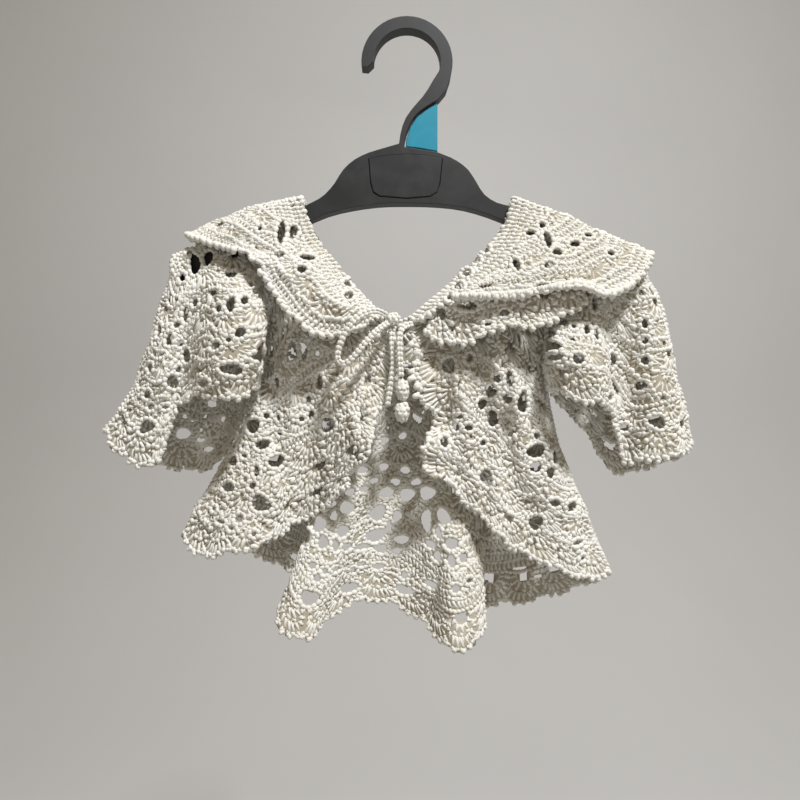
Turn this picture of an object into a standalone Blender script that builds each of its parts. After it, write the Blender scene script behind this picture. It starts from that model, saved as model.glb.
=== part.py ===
"""Crocheted child's cardigan with a wide folded collar, hanging on a plastic hanger.

Metres, +Z up. The origin is the crown of the hanger's hook, where it rests on whatever
holds it up. +X is to the right of someone who faces the garment's front and +Y goes to
its back. The sizes and tables are in millimetres.
"""
from math import cos, pi, radians, sin
from typing import NamedTuple

import bmesh
import bpy
import numpy as np

MM = 0.001
FRONT, REAR = -1, 1

# Cloth: wall thickness, the gap between two layers, and the depth of a hem scallop
CLOTH = 2.2
SEAM_GAP = 0.3
LAYER = CLOTH + SEAM_GAP
SCALLOP = 3.0

# Hanger
HANGER_DEPTH = 8.0
HANGER_ROUND = 1.4
HANGER_CENTRE = -0.7
ARM_ROOT = 66.5
ARM_TOP = -114.5
ARM_SLOPE = 0.41
ARM_END = 148.0
HOOK_RADIUS = 25.4
HOOK_CENTRE_Z = -21.8
BADGE_RECESS = 1.3
BADGE_THICK = 1.6
TAG_DEPTH = 5.0
HOOK_BAR_LEFT, HOOK_BAR_RIGHT = 7.2, 8.6
NECK_LEFT = ((15.6, -34.5), (11.0, -42.2), (4.8, -49.5), (-1.0, -57.0), (-4.3, -65.3), (-5.8, -74.4))
NECK_RIGHT = ((27.2, -32.0), (24.5, -40.0), (19.3, -46.2))
NECK_RIB = ((19.3, -46.2), (11.9, -50.6), (5.2, -55.8), (0.6, -63.0), (-1.9, -70.6), (-2.4, -76.6))
SHOULDER_LEFT = ((-15.4, -77.2), (-25.8, -80.4), (-34.8, -84.9), (-41.9, -91.4), (-47.6, -100.4),
                 (-54.7, -108.1), (-66.5, -114.5))
SHOULDER_RIGHT = ((18.6, -79.8), (30.6, -84.9), (38.5, -91.0), (43.4, -98.3), (49.0, -107.0),
                  (56.5, -112.0), (65.8, -114.5))
UNDERSIDE = ((67.0, -126.0), (50.7, -119.6), (34.0, -115.0), (19.9, -113.4), (-0.7, -112.8),
             (-18.1, -113.2), (-34.8, -115.4), (-52.2, -119.6), (-67.2, -126.0))
BADGE = ((-25.6, -84.0), (-24.4, -100.0), (-22.8, -105.6), (-18.4, -108.4), (-0.7, -110.0),
         (14.6, -108.6), (19.0, -105.8), (20.8, -100.0), (22.4, -84.0), (10.0, -81.6),
         (-0.7, -81.0), (-14.0, -81.8))
TAG = ((19.0, -47.4), (19.0, -79.0), (8.0, -77.0), (-1.6, -76.0), (-1.1, -70.8), (1.4, -63.3),
       (5.8, -56.4), (12.3, -51.3))

# How the cloth goes over a hanger arm: out from the seam line, and down from it
SEAM_RISE = 2.4
CREST_OUT, CREST_DOWN = 5.0, 1.0
YOKE_OUT, YOKE_DOWN = 6.4, 6.5

# Tie
CORD_DIAMETER = 3.8
CORD_STEP = 2.4 * CORD_DIAMETER

# A crochet repeat is four columns: bar, gap, bar, gap. Rows of gaps take turns.
REPEAT = (0.0, 0.2, 0.5, 0.7)
GAP_COLUMNS = (1, 3)

# Shares down a panel of its seam, crest, yoke, chest, waist and hem, and across the collar
STATIONS = (0.0, 0.022, 0.055, 0.33, 0.58, 1.0)
COLLAR_STATIONS = (0.0, 0.5, 1.0)


class Fold(NamedTuple):
    """One fold line of a panel, from its top edge down to its hem."""
    name: str
    top: tuple
    chest: tuple
    waist: tuple
    hem: tuple


class NeckRow(NamedTuple):
    """One place along the back's top edge: its share of the width, the edge and the chest."""
    name: str
    share: float
    top: tuple
    chest: tuple


class HemFold(NamedTuple):
    """One fold of the back's hem: its share of the waist, its depth there, and the hem."""
    name: str
    share: float
    waist_y: float
    hem: tuple


class Rib(NamedTuple):
    """One line across the collar, from the neck edge over its crest to the outer edge."""
    name: str
    neck: tuple
    crest: tuple
    edge: tuple


def arm_top(x):
    """Height of a hanger arm's top edge."""
    return ARM_TOP - ARM_SLOPE * (abs(x - HANGER_CENTRE) - ARM_ROOT)


def on_arm(x, side, layer=0):
    """Point of a shoulder seam on the hanger arm, on the front or the rear of it."""
    return (x, side * LAYER / 2, arm_top(x) + SEAM_RISE + layer * LAYER)


def over_arm(x, side, layer=0):
    """Point where the cloth turns down over the arm's edge."""
    out = CREST_OUT + layer * LAYER
    return (x, side * out, arm_top(x) + SEAM_RISE - CREST_DOWN + 0.7 * layer * LAYER)


FRONT_LEFT = (
    Fold("side seam", on_arm(-105, FRONT), (-88, -9, -180), (-97, -1.3, -231), (-147, -1.3, -328)),
    Fold("side ridge", on_arm(-99, FRONT), (-84.5, -11, -181), (-90, -9, -235), (-131, -15, -337)),
    Fold("outer ridge", on_arm(-92, FRONT), (-80, -12, -182), (-82, -14, -238), (-112, -26, -333)),
    Fold("front ridge", on_arm(-84, FRONT), (-75, -14, -183), (-72, -17, -241), (-92, -27, -328)),
    Fold("valley", on_arm(-76, FRONT), (-70, -14, -185), (-61, -12, -246), (-76, -15, -321)),
    Fold("neck seam", on_arm(-68, FRONT), (-65, -14, -187), (-54, -15, -249), (-68, -13, -318)),
    Fold("neck corner", over_arm(-67, FRONT), (-60, -15, -189), (-49, -18, -251), (-62, -12, -315)),
    Fold("neck front", (-64.8, -6.8, -122), (-53, -15, -192), (-45, -20, -253), (-58, -13, -312)),
    Fold("strand fold", (-52, -9.6, -146), (-40, -14, -200), (-38, -23, -257), (-53, -17, -307)),
    Fold("flap", (-35, -11.4, -167), (-24, -14, -209), (-30, -28, -261), (-47.5, -21, -301)),
    Fold("front edge", (-15, -11.5, -189), (-8, -14, -222), (-24, -31, -266), (-41, -22, -294)),
)

FRONT_RIGHT = (
    Fold("front edge", (3, -11.5, -190), (0, -25, -223), (13, -19, -250), (5, -29, -281)),
    Fold("flap", (14, -12.5, -181), (19, -17, -212), (24, -15, -246), (21, -25, -289)),
    Fold("front fold", (29, -12, -167), (33, -18, -210), (35, -21, -247), (35, -16, -304)),
    Fold("valley", (45, -10.5, -150), (45, -14, -208), (47, -12, -248), (47, -20, -313)),
    Fold("neck front", (63, -6.8, -124), (55, -22, -205), (56, -17, -247), (57, -23, -325)),
    Fold("neck corner", over_arm(66, FRONT), (59, -20, -204), (60, -19, -246), (64, -18, -332)),
    Fold("neck seam", on_arm(67, FRONT), (64, -18, -201), (66, -21, -245), (73, -13, -337)),
    Fold("outer ridge", on_arm(79, FRONT), (71, -15, -196), (76, -11, -241), (90, -18, -343)),
    Fold("side ridge", on_arm(92, FRONT), (79, -11, -189), (83, -9, -236), (112, -13, -352)),
    Fold("side seam", on_arm(104, FRONT), (87, -9, -182), (89, -1.3, -233), (131, -1.3, -353)),
)

BACK_NECK = (
    NeckRow("left side", 0.00, on_arm(-105, REAR), (-90, 9, -181)),
    NeckRow("left shoulder", 0.10, on_arm(-86, REAR), (-79, 11, -183)),
    NeckRow("left neck seam", 0.19, on_arm(-68, REAR), (-68, 12, -186)),
    NeckRow("left corner", 0.22, over_arm(-67, REAR), (-63, 12, -187)),
    NeckRow("left rear", 0.25, (-64.3, 6.6, -124), (-56, 13, -190)),
    NeckRow("left slope", 0.34, (-44, 9.8, -155), (-38, 14, -200)),
    NeckRow("left dip", 0.43, (-21, 12, -180), (-17, 15, -209)),
    NeckRow("centre", 0.50, (-4, 12, -186), (-2, 15, -211)),
    NeckRow("right dip", 0.58, (17, 12, -172), (15, 15, -208)),
    NeckRow("right slope", 0.67, (41, 9.8, -151), (37, 14, -200)),
    NeckRow("right rear", 0.75, (62.5, 6.6, -125), (55, 13, -191)),
    NeckRow("right corner", 0.78, over_arm(66, REAR), (62, 12, -188)),
    NeckRow("right neck seam", 0.81, on_arm(67, REAR), (67, 12, -186)),
    NeckRow("right shoulder", 0.90, on_arm(86, REAR), (78, 11, -184)),
    NeckRow("right side", 1.00, on_arm(104, REAR), (89, 9, -182)),
)

BACK_HEM = (
    HemFold("left seam", 0.00, 1.3, (-147, 1.3, -328)),
    HemFold("left side", 0.06, 10, (-130, 17, -338)),
    HemFold("left rear", 0.12, 14, (-107, 20, -346)),
    HemFold("left turn", 0.18, 13, (-85, 15, -352)),
    HemFold("left inner", 0.23, 10, (-70, 0, -359)),
    HemFold("left fold", 0.28, 8, (-80, -17, -371)),
    HemFold("left front", 0.33, 7, (-75, -28, -380)),
    HemFold("left corner", 0.38, 7, (-60, -27, -384)),
    HemFold("left rise", 0.43, 10, (-49, -12, -376)),
    HemFold("wave valley", 0.48, 14, (-35, -1, -372)),
    HemFold("wave centre", 0.53, 16, (-17, 3, -371)),
    HemFold("wave right", 0.58, 14, (1, -2, -377)),
    HemFold("right fall", 0.63, 9, (15, -13, -383)),
    HemFold("right corner", 0.68, 6, (27, -27, -390)),
    HemFold("right front", 0.73, 7, (42, -25, -386)),
    HemFold("right fold", 0.78, 10, (47, -10, -377)),
    HemFold("right inner", 0.83, 14, (38, 7, -374)),
    HemFold("right turn", 0.88, 15, (54, 17, -379)),
    HemFold("right rear", 0.93, 13, (84, 19, -376)),
    HemFold("right side", 0.97, 9, (111, 13, -367)),
    HemFold("right seam", 1.00, 1.3, (131, 1.3, -353)),
)
BACK_CORNERS = (0.19, 0.22, 0.25, 0.75, 0.78, 0.81)
BACK_WAIST_LEFT, BACK_WAIST_RIGHT = (-97, -231), (89, -233)
BACK_WAIST_DROP = 20

SLEEVE_LEFT_FRONT = (
    Fold("armhole", on_arm(-107.4, FRONT), (-89, -11.6, -180), (-93, -8, -215), (-97, -4, -229)),
    Fold("bulge inner", on_arm(-112, FRONT), (-88, -26, -181), (-89, -33, -211), (-95, -29, -235)),
    Fold("bulge", on_arm(-118, FRONT), (-101, -34, -182), (-103, -40, -214), (-106, -36, -240)),
    Fold("bulge outer", on_arm(-124, FRONT), (-120, -27, -181), (-122, -32, -211), (-127, -29, -237)),
    Fold("valley", on_arm(-131, FRONT), (-135, -14, -181), (-140, -14, -217), (-146, -15, -252)),
    Fold("outer ridge", on_arm(-138, FRONT), (-145, -12, -182), (-153, -16, -226), (-159, -16, -281)),
    Fold("outer", on_arm(-145, FRONT), (-153, -8, -179), (-167, -10, -224), (-180, -12, -276)),
    Fold("outer fold", on_arm(-151, FRONT), (-158, -1.3, -174), (-177, -1.3, -231), (-198, -1.3, -260)),
)

SLEEVE_LEFT_BACK = (
    Fold("outer fold", on_arm(-151, REAR), (-158, 1.3, -174), (-177, 1.3, -231), (-198, 1.3, -260)),
    Fold("outer", on_arm(-144, REAR), (-150, 9, -179), (-164, 10, -226), (-183, 9, -280)),
    Fold("rear", on_arm(-134, REAR), (-138, 12, -181), (-147, 14, -228), (-163, 13, -284)),
    Fold("rear valley", on_arm(-125, REAR), (-124, 13, -181), (-131, 16, -227), (-147, 15, -287)),
    Fold("rear inner", on_arm(-116, REAR), (-108, 13, -181), (-114, 14, -223), (-127, 12, -281)),
    Fold("armhole", on_arm(-107.4, REAR), (-91, 11.6, -181), (-94, 8, -216), (-98, 4, -229)),
)

SLEEVE_RIGHT_FRONT = (
    Fold("armhole", on_arm(106.4, FRONT), (87, -11.8, -182), (86, -10, -215), (89, -5.5, -230)),
    Fold("bulge inner", on_arm(111, FRONT), (88, -18, -188), (87, -27, -213), (92, -26, -236)),
    Fold("bulge", on_arm(117, FRONT), (100, -21, -190), (100, -34, -217), (104, -32, -241)),
    Fold("bulge outer", on_arm(123, FRONT), (116, -18, -190), (118, -26, -218), (119, -25, -243)),
    Fold("valley", on_arm(128, FRONT), (129, -9, -184), (131, -7, -220), (133, -8, -262)),
    Fold("valley outer", on_arm(133, FRONT), (141, -10, -180), (143, -8, -222), (137, -10, -279)),
    Fold("outer ridge", on_arm(139, FRONT), (150, -12, -180), (153, -16, -223), (149, -19, -277)),
    Fold("outer", on_arm(145, FRONT), (157, -9, -177), (166, -12, -228), (168, -15, -275)),
    Fold("outer fold", on_arm(151, FRONT), (162, -1.3, -175), (174, -1.3, -227), (184, -1.3, -269)),
)

SLEEVE_RIGHT_BACK = (
    Fold("armhole", on_arm(106.4, REAR), (90, 11.6, -182), (88, 8, -216), (90, 4, -231)),
    Fold("rear inner", on_arm(114, REAR), (104, 13, -181), (108, 14, -222), (118, 12, -258)),
    Fold("rear valley", on_arm(124, REAR), (122, 14, -180), (128, 16, -226), (139, 14, -288)),
    Fold("rear", on_arm(134, REAR), (139, 13, -178), (147, 15, -227), (157, 13, -286)),
    Fold("outer", on_arm(144, REAR), (153, 9, -177), (165, 10, -228), (177, 9, -279)),
    Fold("outer fold", on_arm(151, REAR), (162, 1.3, -175), (174, 1.3, -227), (184, 1.3, -269)),
)

COLLAR_LEFT = (
    Rib("ridge", on_arm(-68, FRONT, 1.4), (-105, -1.3, -117), (-142, -1.3, -132)),
    Rib("over", over_arm(-67, FRONT, 1.4), (-103, -9, -120), (-137, -8, -136)),
    Rib("shoulder", (-65, -9.8, -120), (-98, -17, -128), (-128, -15, -140)),
    Rib("stretched", (-59, -11.2, -136), (-88, -22, -141), (-113, -20, -145)),
    Rib("upper", (-52, -12.5, -146), (-79, -26, -150), (-101, -25, -151)),
    Rib("chest", (-44, -13.5, -155), (-70, -29, -158), (-89, -29, -161)),
    Rib("mid", (-36, -14.2, -165), (-60, -31, -168), (-79, -31, -175)),
    Rib("lower", (-29, -14.4, -174), (-51, -31, -177), (-68, -32, -189)),
    Rib("scallop", (-23, -14.4, -180), (-40, -29, -184), (-52, -30, -200)),
    Rib("tip", (-18, -14.5, -185), (-29, -23, -188), (-37, -25, -197)),
    Rib("tie end", (-13.2, -15.4, -188.4), (-19.5, -18, -189), (-26, -20, -193)),
)

COLLAR_RIGHT = (
    Rib("tie end", (1, -15, -189), (4, -17, -190), (7, -19, -190.5)),
    Rib("tip", (11, -15.5, -180), (17, -23, -181), (23, -28, -182)),
    Rib("lower", (22, -15.5, -171), (33, -29, -175), (46, -34, -180)),
    Rib("mid", (31, -15, -162), (49, -31, -170), (71, -35, -177)),
    Rib("chest", (39, -14, -154), (62, -30, -165), (92, -34, -173)),
    Rib("upper", (48, -12.8, -145), (73, -28, -156), (107, -32, -174)),
    Rib("pleat", (56, -11.3, -136), (83, -24, -146), (118, -28, -176)),
    Rib("shoulder", (64, -9.8, -121), (93, -18, -136), (129, -24, -172)),
    Rib("fall", (65.3, -9.2, -116.5), (100, -14, -130.5), (143, -18, -162)),
    Rib("over", over_arm(66, FRONT, 1.4), (105, -8.8, -125.2), (153, -9, -147.5)),
    Rib("ridge", on_arm(67, FRONT, 1.4), (108, -1.3, -125), (156, -1.3, -145)),
)

COLLAR_BACK = (
    Rib("left ridge", on_arm(-68, REAR, 1.4), (-105, 1.3, -117), (-142, 1.3, -132)),
    Rib("left over", over_arm(-67, REAR, 1.4), (-103, 9, -121), (-137, 9, -138)),
    Rib("left shoulder", (-65, 9.8, -123), (-97, 18, -132), (-126, 19, -148)),
    Rib("left slope", (-46, 13, -152), (-78, 25, -157), (-100, 27, -176)),
    Rib("left dip", (-23, 15, -177), (-46, 27, -182), (-60, 30, -205)),
    Rib("left centre", (-10, 15, -185), (-21, 28, -195), (-28, 31, -224)),
    Rib("centre", (-2, 15, -185), (-1, 28, -198), (0, 31, -232)),
    Rib("right centre", (9, 15, -178), (19, 28, -193), (30, 31, -223)),
    Rib("right dip", (23, 15, -167), (45, 27, -179), (62, 30, -204)),
    Rib("right slope", (44, 13, -148), (77, 25, -156), (103, 27, -178)),
    Rib("right shoulder", (64, 9.8, -124), (98, 18, -137), (132, 21, -166)),
    Rib("right fall", (65.3, 9.2, -117.5), (101, 14, -131), (145, 17, -158)),
    Rib("right over", over_arm(66, REAR, 1.4), (105, 8.8, -125.2), (153, 9, -147.5)),
    Rib("right ridge", on_arm(67, REAR, 1.4), (108, 1.3, -125), (156, 1.3, -145)),
)

# The right collar's lower frill comes out from under it. Shares are along and across it.
FRILL_CLEARANCE = 0.4
FRILL_START, FRILL_END, FRILL_ROOT = 0.12, 0.78, 0.40
FRILL_EDGE = (
    ("tie end", (9, -22, -199)),
    ("first shell", (20, -27, -205.5)),
    ("second shell", (36, -30, -206)),
    ("notch", (49, -31, -199)),
    ("third shell", (62, -31, -196)),
    ("fourth shell", (74, -31, -197)),
    ("fifth shell", (86, -30, -193)),
    ("sixth shell", (98, -28, -187)),
    ("shoulder end", (109, -25, -181)),
)

TIE_LOOP = (
    (-13.0, -22.5, -187.8), (-19.5, -28.6, -185.6), (-27.0, -32.0, -188.2), (-33.0, -34.0, -193.0),
    (-38.5, -34.5, -201.5), (-41.6, -34.5, -210.0), (-42.2, -34.5, -214.6), (-40.4, -34.5, -218.0),
    (-37.2, -34.5, -217.9), (-32.5, -34.5, -213.5), (-25.5, -33.0, -205.0), (-18.5, -29.0, -197.0),
    (-12.0, -23.2, -192.0),
)
TIE_TAIL_RIGHT = (
    (3.0, -17.2, -192.0), (0.0, -19.6, -193.0), (-3.2, -22.6, -194.8), (-5.2, -24.0, -198.0),
    (-5.6, -25.0, -204.0), (-5.4, -25.6, -211.0), (-5.0, -26.0, -218.0), (-4.6, -26.2, -225.4),
)
TIE_TAIL_LEFT = (
    (-9.6, -19.4, -194.2), (-10.2, -20.4, -199.0), (-10.0, -21.4, -206.0), (-9.4, -21.6, -213.0),
    (-9.8, -21.8, -221.0), (-10.8, -21.8, -229.0), (-12.0, -21.8, -236.0), (-12.6, -21.8, -243.0),
)
KNOT_CENTRE, KNOT_RADII = (-9.4, -19.6, -189.6), (4.6, 4.4, 4.3)
BOBBLES = (
    ("tie_bobble_upper", (-3.6, -26.8, -230.3), (3.2, 3.3, 4.5)),
    ("tie_bobble_lower", (-3.2, -26.8, -239.0), (2.9, 3.0, 3.9)),
)


def clear_scene():
    """Start from nothing."""
    for item in list(bpy.data.objects):
        bpy.data.objects.remove(item)


def new_collection(name):
    """Collection linked to the scene."""
    collection = bpy.data.collections.new(name)
    bpy.context.scene.collection.children.link(collection)
    return collection


def new_material(name, colour, roughness):
    """Principled material of one colour."""
    material = bpy.data.materials.new(name)
    material.use_nodes = True
    shader = material.node_tree.nodes["Principled BSDF"]
    shader.inputs["Base Color"].default_value = (*colour, 1.0)
    shader.inputs["Roughness"].default_value = roughness
    shader.inputs["Metallic"].default_value = 0.0
    return material


def tangents(knots, points, level):
    """Slope of a smooth curve at each of its points. A level one never swings past them."""
    steps = np.diff(knots).reshape((-1,) + (1,) * (points.ndim - 1))
    rates = np.diff(points, axis=0) / steps
    before, after = rates[:-1], rates[1:]
    inner = (before * steps[1:] + after * steps[:-1]) / (steps[:-1] + steps[1:])
    if level:
        limit = 2.0 * np.minimum(np.abs(before), np.abs(after))
        inner = np.where(before * after > 0.0, np.clip(inner, -limit, limit), 0.0)
    return np.concatenate((rates[:1], inner, rates[-1:]))


def spline(knots, points, places, level=False):
    """Smooth curve through the points, read at the given places along its knots."""
    knots, points = np.asarray(knots, float), np.asarray(points, float)
    slopes = tangents(knots, points, level)
    spans = np.clip(np.searchsorted(knots, places, side="right") - 1, 0, len(knots) - 2)
    width = knots[spans + 1] - knots[spans]
    t = (places - knots[spans]) / width
    shape = (-1,) + (1,) * (points.ndim - 1)
    t, width = t.reshape(shape), width.reshape(shape)
    start, end = points[spans], points[spans + 1]
    return (
        start * (2 * t ** 3 - 3 * t ** 2 + 1)
        + end * (3 * t ** 2 - 2 * t ** 3)
        + slopes[spans] * width * (t ** 3 - 2 * t ** 2 + t)
        + slopes[spans + 1] * width * (t ** 3 - t ** 2)
    )


def chord_knots(lines):
    """Knots across a panel, spaced by the mean distance between its fold lines."""
    steps = np.linalg.norm(np.diff(lines, axis=0), axis=2).mean(axis=1)
    knots = np.concatenate(([0.0], np.cumsum(steps)))
    return knots / knots[-1]


def panel_surface(lines, stations, across, down):
    """Points of a panel on a grid of shares across it and down it."""
    columns = spline(stations, lines.transpose(1, 0, 2), np.asarray(down, float), level=True)
    return spline(chord_knots(lines), columns.transpose(1, 0, 2), np.asarray(across, float))


def drape(fold, side):
    """Fold line with the two points where it goes over the hanger's arm, or past the neck."""
    top, chest = np.array(fold.top, float), np.array(fold.chest, float)
    if abs(top[1]) < LAYER:
        crest = (top[0], side * CREST_OUT, top[2] - CREST_DOWN)
        yoke = (top[0], side * YOKE_OUT, top[2] - YOKE_DOWN)
    else:
        crest = top + 0.05 * (chest - top)
        yoke = top + 0.14 * (chest - top)
    return (fold.top, crest, yoke, fold.chest, fold.waist, fold.hem)


def fold_lines(folds, side):
    """Fold table as an array: fold lines, stations, coordinates."""
    return np.array([drape(fold, side) for fold in folds], float)


def back_places():
    """Shares of the back's width that have a fold line: its hem folds and neck corners."""
    return sorted({fold.share for fold in BACK_HEM} | set(BACK_CORNERS))


def back_lines():
    """The back's fold lines, from its neck rows and its hem folds."""
    places = np.array(back_places())
    neck_shares = [row.share for row in BACK_NECK]
    tops = spline(neck_shares, [row.top for row in BACK_NECK], places, level=True)
    chests = spline(neck_shares, [row.chest for row in BACK_NECK], places)
    hem_shares = [fold.share for fold in BACK_HEM]
    waists = spline(hem_shares, [fold.waist_y for fold in BACK_HEM], places)
    hems = spline(hem_shares, [fold.hem for fold in BACK_HEM], places)
    folds = []
    for share, top, chest, waist_y, hem in zip(places, tops, chests, waists, hems):
        x = BACK_WAIST_LEFT[0] + share * (BACK_WAIST_RIGHT[0] - BACK_WAIST_LEFT[0])
        z = BACK_WAIST_LEFT[1] - BACK_WAIST_DROP * sin(pi * share)
        folds.append(Fold("", tuple(top), tuple(chest), (x, waist_y, z), tuple(hem)))
    return fold_lines(folds, REAR)


def rib_lines(ribs):
    """Collar table as an array."""
    return np.array([(rib.neck, rib.crest, rib.edge) for rib in ribs], float)


def frill_lines():
    """The frill's ribs: a root under the collar's own wall, a belly, and its shelled edge."""
    places = np.linspace(FRILL_START, FRILL_END, len(FRILL_EDGE))
    collar = rib_lines(COLLAR_RIGHT)
    roots = panel_surface(collar, COLLAR_STATIONS, places, (FRILL_ROOT,))[:, 0]
    roots = roots - (LAYER + FRILL_CLEARANCE) * wall_normals(collar, places)
    edges = np.array([point for _, point in FRILL_EDGE], float)
    bellies = 0.5 * (roots + edges)
    return np.stack((roots, bellies, edges), axis=1)


def wall_normals(lines, places):
    """Outward direction of the collar where the frill is rooted under it."""
    step = 0.01
    here = panel_surface(lines, COLLAR_STATIONS, places, (FRILL_ROOT,))[:, 0]
    along = panel_surface(lines, COLLAR_STATIONS, places + step, (FRILL_ROOT,))[:, 0] - here
    across = panel_surface(lines, COLLAR_STATIONS, places, (FRILL_ROOT + step,))[:, 0] - here
    normal = np.cross(along, across)
    normal *= -np.sign(normal[:, 1:2])
    return normal / np.linalg.norm(normal, axis=1, keepdims=True)


def repeat_shares(repeats, lines, pinned):
    """Column lines across a panel: bar, gap, bar, gap in each crochet repeat.

    The nearest column goes to each pinned fold, so that no face cuts its corner.
    """
    shares = [(repeat + part) / repeats for repeat in range(repeats) for part in REPEAT]
    shares = np.array(shares + [1.0])
    for knot in chord_knots(lines)[list(pinned)]:
        shares[np.argmin(np.abs(shares - knot))] = knot
    return shares


def row_shares(rows, stations):
    """Row lines down a panel: two narrow ones over the arm, then even ones."""
    if len(stations) == len(STATIONS):
        return np.concatenate((stations[:2], np.linspace(stations[2], 1.0, rows - 1)))
    return np.linspace(0.0, 1.0, rows + 1)


def gap_cells(repeats, rows, gap_rows):
    """Cells that are left open. Those of one row lie between those of the next."""
    cells = set()
    for turn, row in enumerate(gap_rows):
        for repeat in range(repeats):
            column = 4 * repeat + GAP_COLUMNS[turn % 2]
            if column < 4 * repeats - 1 and row < rows - 1:
                cells.add((column, row))
    return cells


def sheet_object(name, points, gaps, material, collection):
    """Wall of cloth with gaps, from a grid of points."""
    columns, rows = points.shape[0] - 1, points.shape[1] - 1
    mesh = bpy.data.meshes.new(name)
    faces = [
        (c * (rows + 1) + r, c * (rows + 1) + r + 1, (c + 1) * (rows + 1) + r + 1, (c + 1) * (rows + 1) + r)
        for c in range(columns) for r in range(rows) if (c, r) not in gaps
    ]
    mesh.from_pydata((points.reshape(-1, 3) * MM).tolist(), [], faces)
    work = bmesh.new()
    work.from_mesh(mesh)
    bmesh.ops.triangulate(work, faces=work.faces)
    work.to_mesh(mesh)
    work.free()
    mesh.materials.append(material)
    item = bpy.data.objects.new(name, mesh)
    collection.objects.link(item)
    solidify = item.modifiers.new("wall", "SOLIDIFY")
    solidify.thickness = CLOTH * MM
    solidify.offset = 0.0
    mesh.shade_smooth()
    mesh.set_sharp_from_angle(angle=radians(50))
    return item


def scalloped(points):
    """Last row pushed out at each shell, so that the hem is scalloped."""
    push = np.array([SCALLOP if place % 4 in (1, 2) else 0.0 for place in range(points.shape[0])])
    out = points[:, -1] - points[:, -2]
    out /= np.linalg.norm(out, axis=1, keepdims=True)
    points[:, -1] += push[:, None] * out
    return points


def cloth_panel(name, lines, stations, repeats, rows, gap_rows, material, collection,
                pinned=(), ruffle=None):
    """One crocheted piece: its surface, its gaps and its scalloped edge."""
    across = repeat_shares(repeats, lines, pinned)
    down = row_shares(rows, stations)
    points = panel_surface(lines, stations, across, down)
    if ruffle:
        points = ruffle(points, across, down)
    points = scalloped(points)
    return sheet_object(name, points, gap_cells(repeats, rows, gap_rows), material, collection)


def edge_ruffle(edge_share, waves, start, depth, sway):
    """Waves of the shelled front edge, dying away into the panel."""
    def apply(points, across, down):
        near = np.clip(1.0 - np.abs(across - edge_share) / 0.28, 0.0, 1.0) ** 1.5
        below = np.clip((down - 0.12) / 0.15, 0.0, 1.0)
        wave = np.sin(2 * pi * (waves * down - start)) * below
        move = near[:, None] * wave[None, :]
        points[:, :, 1] -= depth * move
        points[:, :, 0] += sway * move
        return points
    return apply


def make_cloth(cotton, collection):
    """Fronts, back, sleeves and collar."""
    common = {"material": cotton, "collection": collection}
    front_gaps, sleeve_gaps = (4, 6, 8, 10, 11, 12, 13, 14, 17), (4, 6, 8, 9, 11)
    cloth_panel("front_left", fold_lines(FRONT_LEFT, FRONT), STATIONS, 5, 20, front_gaps,
                pinned=(6, 7), ruffle=edge_ruffle(1.0, 3.0, 0.62, 5.0, 2.5), **common)
    cloth_panel("front_right", fold_lines(FRONT_RIGHT, FRONT), STATIONS, 5, 20, front_gaps,
                pinned=(4, 5), ruffle=edge_ruffle(0.0, 3.0, 0.10, 5.0, -2.5), **common)
    corners = [back_places().index(share) for share in BACK_CORNERS]
    cloth_panel("back", back_lines(), STATIONS, 12, 22, (5, 7, 9, 11, 12, 13, 14, 15, 16, 19),
                pinned=corners, **common)
    for name, folds, side in (
        ("sleeve_left_front", SLEEVE_LEFT_FRONT, FRONT), ("sleeve_left_back", SLEEVE_LEFT_BACK, REAR),
        ("sleeve_right_front", SLEEVE_RIGHT_FRONT, FRONT), ("sleeve_right_back", SLEEVE_RIGHT_BACK, REAR),
    ):
        cloth_panel(name, fold_lines(folds, side), STATIONS, 3, 14, sleeve_gaps, **common)
    for name, ribs, repeats, pinned in (
        ("collar_left", COLLAR_LEFT, 5, (1, 2)), ("collar_right", COLLAR_RIGHT, 5, (7, 9)),
        ("collar_back", COLLAR_BACK, 9, (1, 2, 10, 12)),
    ):
        cloth_panel(name, rib_lines(ribs), COLLAR_STATIONS, repeats, 5, (), pinned=pinned, **common)
    cloth_panel("collar_right_frill", frill_lines(), COLLAR_STATIONS, 4, 3, (), **common)


def arc(centre_z, radius, start, end, steps):
    """Points on a circle round the hook's centre, in degrees from +X towards +Z."""
    angles = np.radians(np.linspace(start, end, steps))
    return [(HANGER_CENTRE + radius * cos(a), centre_z + radius * sin(a)) for a in angles]


def smooth_line(points, count):
    """Evenly read smooth curve through a few outline points."""
    points = np.array(points, float)
    knots = np.concatenate(([0.0], np.cumsum(np.linalg.norm(np.diff(points, axis=0), axis=1))))
    return [tuple(point) for point in spline(knots, points, np.linspace(0.0, knots[-1], count))]


def arm_tip(sign):
    """Rounded end of a hanger arm, from its top edge to its lower edge."""
    x = HANGER_CENTRE + sign * ARM_END
    top = arm_top(x)
    return [(x - sign * 6.0, arm_top(x - sign * 6.0)), (x - sign * 1.6, top - 1.2), (x, top - 5.0),
            (x, top - 12.0), (x - sign * 1.6, top - 15.2), (x - sign * 6.0, top - 14.4)]


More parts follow.
